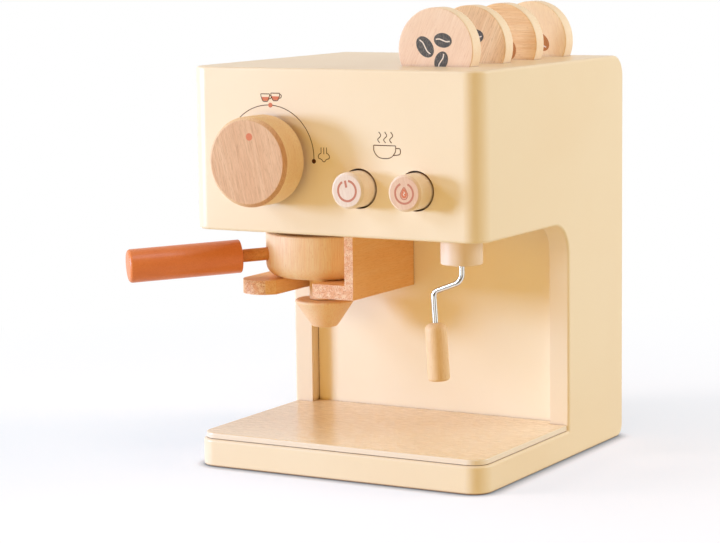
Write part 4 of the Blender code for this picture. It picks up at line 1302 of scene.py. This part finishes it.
@dataclass
class Dial(SubAssembly):
    """Turned knob with a printed dot, on its shaft."""

    place: Place = (DIAL[0], FRONT, DIAL[1])
    radius: float = 0.0244
    back: float = 0.0049
    back_edge: float = 0.001
    face: float = 0.0242
    socket: float = 0.0053
    socket_rim: float = 0.0003
    socket_depth: float = 0.011
    chamfer: float = 0.0019
    chamfer_edge: float = 0.0007
    dot: Point = (0.0018, 0.0137)
    dot_radius: float = 0.0020

    def build(self) -> None:
        """Build the knob and its dot."""
        look = facing(Facing.FRONT, self.place)
        bottom = self.back + self.socket_depth
        corners = [(0, bottom, 0), (self.socket, bottom, 0), (self.socket, self.back, self.socket_rim),
                   (self.radius, self.back, self.back_edge),
                   (self.radius, self.face - self.chamfer, self.chamfer_edge),
                   (self.radius - self.chamfer, self.face, self.chamfer_edge), (0, self.face, 0)]
        knob = turned_piece("knob_turning", corners, look, 128, 4)
        weigh_normals(knob)
        self.put(knob, self.finishes.pale(Grain.LEANING_BACK), "dial", "dial_knob")
        pen = Pen(look @ Matrix.Translation((0, 0, self.face)))
        dot = pen.fills("knob_dot", [(self.dot, (self.dot_radius, self.dot_radius), 0.0)])
        self.put(dot, self.finishes.salmon_ink, "dial")


@dataclass
class FrontPrints(SubAssembly):
    """Printed marks on the front: the dial's scale, two icons and a small plain motif."""

    front: float = FRONT
    centre: Point = (-0.0384, 0.1759)
    scale_radius: float = 0.0279
    overrun: float = 3.5
    top: float = 88.0
    line: float = 0.00042
    motif_line: float = 0.000462
    dot: float = 0.00125
    top_dot: float = 0.0013125
    dot_height: float = 0.00002
    cups: tuple[Point, ...] = ((-0.0406, 0.2080), (-0.0342, 0.2085))
    steam: Point = (-0.0043, 0.1776)
    motif: Point = (0.0330, 0.1840)
    bowl: tuple[Point, ...] = ((-0.0028, 0.0018), (-0.0026, 0.0002), (-0.0015, -0.0020))
    bowl_tip: Point = (0.0, -0.0023)
    loop: tuple[Point, ...] = ((0.0027, 0.0012), (0.0037, 0.0008), (0.0036, -0.0005), (0.0024, -0.0009))
    drink: tuple[Point, ...] = ((-0.0023, 0.0001), (-0.0014, -0.0017))
    drink_tip: Point = (0.0, -0.0020)
    puff: tuple[Point, ...] = ((0.0017, 0.0011), (0.0027, 0.0006), (0.0034, -0.0003), (0.0032, -0.0016),
                               (0.0021, -0.0020), (0.0013, -0.0024), (0.0008, -0.0031))
    puff_tip: Point = (0.0, -0.0035)
    jets: tuple[Point, ...] = ((-0.0017, 0.0011), (0.0, 0.0006), (0.0017, 0.0011))
    jet_top: float = 0.0042
    motif_bowl: tuple[Point, ...] = ((-0.0066, 0.0), (-0.0064, -0.0032), (-0.0038, -0.0062))
    motif_tip: Point = (0.0, -0.0069)
    motif_loop: tuple[Point, ...] = ((0.0065, -0.0014), (0.0092, -0.0016), (0.0090, -0.0044),
                                     (0.0052, -0.0051))
    plume: tuple[Point, ...] = ((0.0, 0.0014), (-0.0011, 0.0031), (0.0007, 0.0052), (-0.0005, 0.0072))
    plume_steps: tuple[float, ...] = (-0.0030, 0.0006, 0.0042)

    def _cup(self, place: Point, bowl: Sequence[Point], tip: Point, loop: Sequence[Point]
             ) -> list[list[Point]]:
        """Return a cup's strokes: its bowl, its rim and the loop of its handle."""
        rim = [bowl[0], (-bowl[0][0], bowl[0][1])]
        sides = smooth_path(moved(mirrored(bowl, tip), place))
        return [sides, moved(rim, place), smooth_path(moved(loop, place))]

    def _steam(self) -> list[list[Point]]:
        """Return the strokes of a puff of steam under three jets."""
        puff = smooth_path(moved(mirrored(self.puff, self.puff_tip), self.steam))
        return [puff, *[moved([(u, v), (u, self.jet_top)], self.steam) for u, v in self.jets]]

    def _motif(self) -> list[list[Point]]:
        """Return the strokes of a plain cup with steam over it."""
        strokes = self._cup(self.motif, self.motif_bowl, self.motif_tip, self.motif_loop)
        for step in self.plume_steps:
            strokes.append(smooth_path(moved(self.plume, (self.motif[0] + step, self.motif[1]))))
        return strokes

    def _on_scale(self, degrees: float) -> Point:
        """Return a place on the dial's scale."""
        return bow(self.centre, self.scale_radius, degrees, degrees, 1)[0]

    def build(self) -> None:
        """Print everything that the front carries."""
        pen = Pen(facing(Facing.FRONT, (0, self.front, 0)))
        dark = self.finishes.dark_ink
        salmon = self.finishes.salmon_ink
        ends = (-self.overrun, 180.0 + self.overrun)
        strokes = [bow(self.centre, self.scale_radius, ends[1], ends[0], 96)]
        for place in self.cups:
            strokes += self._cup(place, self.bowl, self.bowl_tip, self.loop)
        self.put(pen.lines("front_scale_print", strokes + self._steam(), self.line), dark, "housing")
        self.put(pen.lines("front_motif_print", self._motif(), self.motif_line), dark, "housing")
        dots = [(self._on_scale(degrees), (self.dot, self.dot), 0.0) for degrees in ends]
        self.put(pen.fills("front_scale_ends", dots, self.dot_height), dark, "housing")
        dots = [(self._on_scale(self.top), (self.top_dot, self.top_dot), 0.0)]
        self.put(pen.fills("front_salmon_print", dots, self.dot_height), salmon, "housing")
        for name, place in zip(("left_drink_print", "right_drink_print"), self.cups):
            drink = pen.patch(name, smooth_path(moved(mirrored(self.drink, self.drink_tip), place)))
            self.put(drink, salmon, "housing")


@dataclass
class Buttons(SubAssembly):
    """Two push buttons with printed caps, and the springs behind them."""

    front: float = FRONT
    height: float = BUTTON_HEIGHT
    power_x: float = BUTTONS[0]
    brew_x: float = BUTTONS[1]
    radius: float = 0.0098
    protrusion: float = 0.013
    chamfer: float = 0.0013
    edge: float = 0.0004
    turn: float = math.radians(12.0)
    flange_front: float = -0.0123
    flange_back: float = -0.0153
    flange_radius: float = 0.0130
    pin_end: float = -0.0453
    pin_radius: float = 0.003
    pin_edge: float = 0.0005
    spring_front: float = -0.0759
    spring_length: float = 0.0174
    coil_radius: float = 0.0052
    wire_radius: float = 0.0005
    turns: float = 7.0
    steps_per_turn: int = 24
    closed_share: float = 0.45
    travel: float = 0.006
    power_ring: tuple[float, float, float] = (0.0054, 20.0, 0.0012)
    brew_ring: tuple[float, float, float] = (0.0053, 23.0, 0.0011)
    bar: tuple[Point, ...] = ((0.0, 0.0018), (0.0, 0.0056))
    bar_width: float = 0.0013
    drop_sides: tuple[Point, ...] = ((0.72, 0.30), (1.0, -0.28), (0.6, -0.86))
    drop_outline: Point = (0.0022, 0.0031)
    drop_line: float = 0.0006
    drop_fill: Point = (0.0017, 0.0025)
    swirl: tuple[Point, ...] = ((-0.0002, 0.0010), (0.0005, 0.0003), (-0.0004, -0.0004), (0.0003, -0.0012))
    swirl_line: float = 0.0004
    swirl_height: float = 0.00007

    def _cap(self, name: str, x: float, body: str, tone: Tone) -> Matrix:
        """Build one button, and return the place of its printed face."""
        look = facing(Facing.FRONT, (x, self.front, self.height))
        corners = [(0, self.pin_end, 0), (self.pin_radius, self.pin_end, self.pin_edge),
                   (self.pin_radius, self.flange_back, 0), (self.flange_radius, self.flange_back, self.edge),
                   (self.flange_radius, self.flange_front, self.edge), (self.radius, self.flange_front, 0),
                   (self.radius, self.protrusion - self.chamfer, self.edge),
                   (self.radius - self.chamfer, self.protrusion, self.edge), (0, self.protrusion, 0)]
        cap = turned_piece(name, corners, look, 96, 4)
        weigh_normals(cap)
        self.put(cap, self.finishes.pale(Grain.LEANING_BACK, tone), body, body)
        return look @ Matrix.Translation((0, 0, self.protrusion))

    def _spring(self, name: str, x: float, node: str, joint: str) -> None:
        """Build a return spring with closed ends."""
        steps = int(self.turns * self.steps_per_turn)
        free = self.spring_length - 2 * self.wire_radius
        path = []
        for step in range(steps + 1):
            share = step / steps
            eased = 0.5 - 0.5 * math.cos(math.pi * share)
            rise = self.closed_share * eased + (1.0 - self.closed_share) * share
            angle = math.tau * self.turns * share
            along = self.spring_front + self.wire_radius + free * rise
            path.append((x + self.coil_radius * math.cos(angle), along,
                         self.height + self.coil_radius * math.sin(angle)))
        spring = piece_from(name, swept_mesh([path], self.wire_radius, 2))
        self.put(spring, self.finishes.steel, "housing", node)
        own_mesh(spring)

    def _ring(self, pen: Pen, name: str, ring: tuple[float, float, float], body: str) -> None:
        """Print a ring of a radius, open at the top by an angle to each side, in a line of a width."""
        radius, gap, width = ring
        stroke = bow((0, 0), radius, 90.0 + gap, 450.0 - gap, 64)
        self.put(pen.lines(name, [stroke], width), self.finishes.rose_ink, body)

    def _drop(self, size: Point) -> list[Point]:
        """Return a drop's outline from its half width and half height."""
        half, tall = size
        side = [(half * u, tall * v) for u, v in self.drop_sides]
        return smooth_path([(0.0, tall), *mirrored(side, (0.0, -tall))], True)

    def build(self) -> None:
        """Build both buttons with their prints and springs."""
        rose = self.finishes.rose_ink
        power = Pen(self._cap("power_cap", self.power_x, "power_button", Tone.ROSE)
                    @ Matrix.Rotation(self.turn, 4, "Z"))
        self._ring(power, "power_ring_print", self.power_ring, "power_button")
        self.put(power.lines("power_bar_print", [self.bar], self.bar_width), rose, "power_button")
        brew = Pen(self._cap("brew_cap", self.brew_x, "brew_button", Tone.PEACH))
        self._ring(brew, "brew_ring_print", self.brew_ring, "brew_button")
        outline = brew.lines("brew_drop_outline", [self._drop(self.drop_outline)], self.drop_line, True)
        self.put(outline, rose, "brew_button")
        fill = brew.patch("brew_drop_print", self._drop(self.drop_fill))
        self.put(fill, self.finishes.salmon_ink, "brew_button")
        swirl = brew.lines("brew_swirl_print", [smooth_path(self.swirl)], self.swirl_line,
                           height=self.swirl_height)
        self.put(swirl, self.finishes.crease_ink, "brew_button")
        self._spring("power_coil", self.power_x, "power_spring", "power_press")
        self._spring("brew_coil", self.brew_x, "brew_spring", "brew_press")


@dataclass
class SteamWand(SubAssembly):
    """Boss under the head, the bent wire that turns in it, and its wooden grip."""

    x: float = 0.068
    y: float = -0.0715
    boss_radius: float = 0.0113
    boss_bottom: float = 0.1204
    boss_top: float = 0.1337
    boss_edge: float = 0.0008
    fine_edge: float = 0.0003
    boss_gap: float = 0.0004
    wire_radius: float = 0.0015
    straight: float = 0.0095
    reach: float = 0.0171
    slope: float = math.radians(21.0)
    tilt: float = math.radians(3.5)
    upper_bend: float = 0.006
    lower_bend: float = 0.0035
    lower_length: float = 0.0366
    wire_top: float = 0.1531
    grip_start: float = 0.0166
    grip_length: float = 0.0315
    grip_radius: float = 0.0060
    grip_taper: float = 0.0001
    grip_bottom: float = 0.0018
    grip_shoulder: float = 0.0040
    grip_gap: float = 0.0002
    grip_depth_gap: float = 0.0003

    def _elbow(self) -> Point:
        """Return the lower bend's corner, from the axis and from the floor."""
        knee = self.boss_bottom - self.straight
        return (-self.reach, knee - self.reach * math.tan(self.slope))

    def _below(self, length: float) -> Point:
        """Return a place on the lower stretch of the wire, some length from its bend."""
        elbow = self._elbow()
        return (elbow[0] + length * math.sin(self.tilt), elbow[1] - length * math.cos(self.tilt))

    def _build_wire(self) -> None:
        """Build the bent wire by sweeping a round section."""
        bm = bmesh.new()
        corners = [(0.0, self.wire_top), (0.0, self.boss_bottom - self.straight), self._elbow(),
                   self._below(self.lower_length)]
        verts = [bm.verts.new((u, 0.0, v)) for u, v in corners]
        for first, second in zip(verts, verts[1:]):
            bm.edges.new((first, second))
        for vert, radius in ((verts[1], self.upper_bend), (verts[2], self.lower_bend)):
            arms = [edge.other_vert(vert).co - vert.co for edge in vert.link_edges]
            round_corner(bm, vert, radius, arms[0].angle(arms[1]), 10)
        path = self._ordered(bm)
        bm.free()
        line = [(self.x + co.x, self.y, co.z) for co in path]
        wire = piece_from("wand_wire", swept_mesh([line], self.wire_radius, 6))
        self.put(wire, self.finishes.steel, "steam_wand", "steam_wire")

    def _ordered(self, bm: bmesh.types.BMesh) -> list[Vector]:
        """Return a line's points from its top end to its bottom end."""
        ends = [vert for vert in bm.verts if len(vert.link_edges) == 1]
        here = max(ends, key=lambda vert: vert.co.z)
        path = [here.co.copy()]
        used: set[bmesh.types.BMEdge] = set()
        while True:
            ahead = [edge for edge in here.link_edges if edge not in used]
            if not ahead:
                return path
            used.add(ahead[0])
            here = ahead[0].other_vert(here)
            path.append(here.co.copy())

    def build(self) -> None:
        """Build boss, wire and grip."""
        bore = self.wire_radius + self.boss_gap
        corners = [(bore, self.boss_bottom, self.fine_edge),
                   (self.boss_radius, self.boss_bottom, self.boss_edge),
                   (self.boss_radius, self.boss_top, self.fine_edge), (bore, self.boss_top, 0)]
        boss = turned_piece("wand_boss", corners, Matrix.Translation((self.x, self.y, 0)), 96, 5)
        weigh_normals(boss)
        # The boss takes the darker copy of the paint, painted shade.
        self.put(boss, self.finishes.shaded_boss_paint, "housing", "steam_boss")
        self._build_wire()
        start = self._below(self.grip_start)
        place = Matrix.Translation((self.x + start[0], self.y, start[1]))
        place = place @ Matrix.Rotation(-self.tilt, 4, "Y")
        bore = self.wire_radius + self.grip_gap
        depth = self.lower_length - self.grip_start + self.grip_depth_gap
        corners = [(0, -self.grip_length, 0), (self.grip_radius, -self.grip_length, self.grip_bottom),
                   (self.grip_radius - self.grip_taper, 0, self.grip_shoulder), (bore, 0, 0),
                   (bore, -depth, 0), (0, -depth, 0)]
        grip = turned_piece("wand_grip", corners, place, 64, 7)
        self.put(grip, self.finishes.beech(Grain.ALONG_Z, Tone.GRIP), "steam_wand", "steam_grip")


@dataclass
class Pods(SubAssembly):
    """Four wooden pods on edge in the top, each with a few printed beans."""

    x: float = POD_X
    z: float = 0.2329
    radius: float = 0.0227
    thickness: float = POD_THICKNESS
    fronts: tuple[float, ...] = POD_FRONTS
    edge: float = 0.0007
    tones: tuple[Tone, ...] = (Tone.POD_ROSE, Tone.POD_TAN, Tone.POD_HONEY, Tone.POD_PALE)
    grains: tuple[Grain, ...] = (Grain.LEANING, Grain.LEANING, Grain.ALONG_X, Grain.LEANING_BACK)
    rolls: tuple[float, ...] = (0.0, 114.0, -78.0, -171.0)
    dark_pods: int = 2
    beans: tuple[tuple[float, ...], ...] = (
        (-0.0062, 0.0015, -50.0, 0.0064, 0.0045),
        (0.0046, 0.0051, -8.0, 0.0054, 0.0039),
        (0.0035, -0.0059, 66.0, 0.0053, 0.0039),
    )
    crease_shares: tuple[Point, ...] = ((-0.78, -0.02), (-0.40, 0.10), (0.0, 0.0), (0.40, -0.10),
                                        (0.78, 0.02))
    crease_line: float = 0.0007
    crease_height: float = 0.00007

    def _print_beans(self, index: int, front: float) -> None:
        """Print three beans, each an oval with a pale crease."""
        roll = Matrix.Rotation(math.radians(self.rolls[index - 1]), 4, "Z")
        pen = Pen(facing(Facing.FRONT, (self.x, front, self.z)) @ roll)
        ovals = []
        creases = []
        for u, v, degrees, long, wide in self.beans:
            turn = math.radians(degrees)
            ovals.append(((u, v), (long, wide), turn))
            ahead = Vector((math.cos(turn), math.sin(turn)))
            side = Vector((-ahead.y, ahead.x))
            creases.append(smooth_path([tuple(Vector((u, v)) + ahead * a * long + side * b * wide)
                                        for a, b in self.crease_shares]))
        body = f"pod_{index}"
        ink = self.finishes.bean_ink if index <= self.dark_pods else self.finishes.roast_ink
        self.put(pen.fills(f"pod_{index}_beans", ovals), ink, body)
        lines = pen.lines(f"pod_{index}_creases", creases, self.crease_line, height=self.crease_height)
        self.put(lines, self.finishes.crease_ink, body)

    def build(self) -> None:
        """Build the pods with their prints."""
        half = self.thickness / 2
        corners = [(0, -half, 0), (self.radius, -half, self.edge), (self.radius, half, self.edge),
                   (0, half, 0)]
        for index, (front, grain, tone) in enumerate(zip(self.fronts, self.grains, self.tones), start=1):
            place = facing(Facing.FRONT, (self.x, front + half, self.z))
            pod = turned_piece(f"pod_disc_{index}", corners, place, 128, 3)
            weigh_normals(pod)
            self.put(pod, self.finishes.pale(grain, tone), f"pod_{index}", f"pod_{index}")
            self._print_beans(index, front)


@dataclass
class KeptBoards(SubAssembly):
    """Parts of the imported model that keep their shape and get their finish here."""

    nodes: dict[str, bpy.types.Object]

    def _dress(self, finish: Finish, *names: str) -> None:
        """Give nodes a finish through their material slots."""
        material = self.finishes.material(finish)
        for name in names:
            node = self.nodes[name]
            for slot in node.material_slots:
                slot.material = material
            if not node.material_slots:
                node.data.materials.append(material)
            log.info("%s keeps its shape as %s", name, finish.name)

    def build(self) -> None:
        """Dress every node that stays."""
        self._dress(self.finishes.paint, "head_floor")
        # The bay's back wall takes the lighter copy of the paint, painted light.
        self._dress(self.finishes.lit_wall_paint, "column_wall")
        self._dress(self.finishes.beech(Grain.ALONG_Z), "rear_batten_left", "rear_batten_right")
        self._dress(self.finishes.beech(Grain.ALONG_X), "button_guide")
        self._dress(self.finishes.pale(Grain.ALONG_Y), "dial_shaft")
        self._dress(self.finishes.steel, "dial_washer", "dial_screw", "bracket_screw_1", "bracket_screw_2",
                    "wire_collar")


@dataclass(frozen=True)
class Lamp:
    """Soft rectangular light that looks at the toy."""

    name: str
    place: Place
    size: Point
    power: float
    tint: Colour
    target: Place = (0.0, 0.0, 0.1)

    def build(self) -> None:
        """Add the light to the scene."""
        data = bpy.data.lights.new(self.name, "AREA")
        data.shape = "RECTANGLE"
        data.size, data.size_y = self.size
        data.energy = self.power
        data.color = self.tint
        lamp = bpy.data.objects.new(self.name, data)
        look = Vector(self.target) - Vector(self.place)
        turn = look.to_track_quat("-Z", "Y").to_matrix().to_4x4()
        lamp.matrix_world = Matrix.Translation(self.place) @ turn
        bpy.context.scene.collection.objects.link(lamp)


@dataclass
class Studio:
    """Camera at the photograph's angle, pale floor and soft light."""

    eye: Place = (0.6604, -1.2208, 0.293)
    yaw: float = math.radians(-29.669)
    pitch: float = math.radians(-7.756)
    roll: float = math.radians(-0.724)
    lens: float = 122.59
    ambient: float = 0.47
    ambient_tint: Colour = (1.0, 0.60, 0.06)
    lamps: tuple[Lamp, ...] = (
        Lamp("low_key_light", (-2.065, -1.393, 0.318), (0.6, 0.5), 39.0, (0.66, 0.97, 1.52)),
        Lamp("high_key_light", (-1.736, -1.456, 1.157), (0.6, 0.6), 13.5, (0.67, 0.98, 1.48)),
        Lamp("fill_light", (2.0, 1.30, 0.95), (1.2, 1.2), 29.5, (0.82, 1.02, 1.20)),
        Lamp("front_light", (-0.20, -2.40, 0.30), (1.6, 0.5), 6.0, (1.0, 0.62, 0.06)),
        Lamp("top_light", (0.60, -0.55, 2.0), (0.9, 0.9), 7.0, (0.75, 1.0, 1.30)),
    )
    floor_size: float = 40.0
    floor_paint: Colour = (0.95, 0.52, 0.31)
    floor_glow: Colour = (0.225, 0.61, 0.82)
    floor_shade_colour: Colour = (0.10, 0.07, 0.05)
    floor_bounce: Colour = (0.82, 0.78, 0.56)
    floor_roughness: float = 0.9
    # Painted shadow on the floor: occlusion looked for towards the lamps, and a dark painted contact line at
    # the toy's foot.
    shadow_way: Place = (-0.70, -0.35, 0.62)
    shadow_reach: float = 0.35
    shadow_span: tuple[float, ...] = (0.60, 0.96, 0.875, 1.0)
    contact_shade_reach: float = 0.010
    contact_shade_span: tuple[float, ...] = (0.45, 0.90, 0.30, 1.0)
    fade: Point = (0.25, 0.55)

    def camera(self) -> None:
        """Place the camera."""
        data = bpy.data.cameras.new("photo_camera")
        data.lens = self.lens
        data.sensor_width = 36.0
        data.clip_start = 0.05
        data.clip_end = 200.0
        camera = bpy.data.objects.new("photo_camera", data)
        camera.matrix_world = (Matrix.Translation(self.eye) @ Matrix.Rotation(-self.yaw, 4, "Z")
                               @ Matrix.Rotation(math.pi / 2 + self.pitch, 4, "X")
                               @ Matrix.Rotation(self.roll, 4, "Z"))
        bpy.context.scene.collection.objects.link(camera)
        bpy.context.scene.camera = camera

    def light(self) -> None:
        """Add the lamps and the pale room."""
        for lamp in self.lamps:
            lamp.build()
        world = bpy.data.worlds.new("pale_room")
        bpy.context.scene.world = world
        world.use_nodes = True
        sheet = ShaderSheet.over(world.node_tree)
        tint = (*self.ambient_tint, 1.0)
        soft = sheet.add("ShaderNodeBackground", {"Color": tint, "Strength": self.ambient})
        white = sheet.add("ShaderNodeBackground", {"Color": (1.0, 1.0, 1.0, 1.0)})
        sheet.show("World Output", sheet.either(sheet.plainly_seen(), soft.outputs["Background"],
                                                white.outputs["Background"]))

    def floor(self) -> None:
        """Add the floor, which keeps the toy's shadow, darkens it further with a painted shadow and a painted
        contact shade from occlusion, and fades to white further out.
        """
        bm = bmesh.new()
        bmesh.ops.create_grid(bm, x_segments=2, y_segments=2, size=self.floor_size)
        floor = piece_from("studio_floor", bm)
        sheet = ShaderSheet("floor_white", {"Base Color": (*self.floor_paint, 1.0),
                                            "Roughness": self.floor_roughness, "Specular IOR Level": 0.0})
        # Painted shadow: occlusion towards the lamps darkens the floor beside the toy, and occlusion near by
        # paints a contact line under it.
        aim = sheet.add("ShaderNodeCombineXYZ", dict(zip("XYZ", self.shadow_way))).outputs["Vector"]
        wide = sheet.span(sheet.openness(self.shadow_reach, Normal=aim), *self.shadow_span)
        close = sheet.span(sheet.openness(self.contact_shade_reach), *self.contact_shade_span)
        bright = sheet.add("ShaderNodeAddShader", {0: sheet.shader.outputs["BSDF"],
                                                   1: sheet.emission(self.floor_glow)})
        shaded = sheet.product(wide, close)
        lit = sheet.either(shaded, sheet.emission(self.floor_shade_colour), bright.outputs["Shader"])
        spread = sheet.add("ShaderNodeVectorMath", {0: sheet.place()}, operation="LENGTH").outputs["Value"]
        shown = sheet.either(sheet.span(spread, *self.fade), lit, sheet.emission(EVEN))
        bounce = sheet.add("ShaderNodeBsdfDiffuse", {"Color": (*self.floor_bounce, 1.0)}).outputs["BSDF"]
        sheet.show("Material Output", sheet.either(sheet.plainly_seen(), bounce, shown))
        floor.data.materials.append(sheet.material)

    def build(self) -> None:
        """Set up camera, light and floor."""
        self.camera()
        self.light()
        self.floor()
        bpy.context.scene.view_settings.view_transform = "Standard"


def main() -> None:
    """Build the toy's looks and the studio."""
    logging.basicConfig(level=logging.INFO, format="%(name)s: %(message)s")
    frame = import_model()
    finishes = Finishes()
    Studio().build()
    for kind in (Housing, Tray, Bracket, Portafilter, Spout, Dial, FrontPrints, Buttons, SteamWand, Pods):
        kind(finishes).build()
    KeptBoards(finishes, frame["nodes"]).build()


if __name__ == "__main__":
    main()
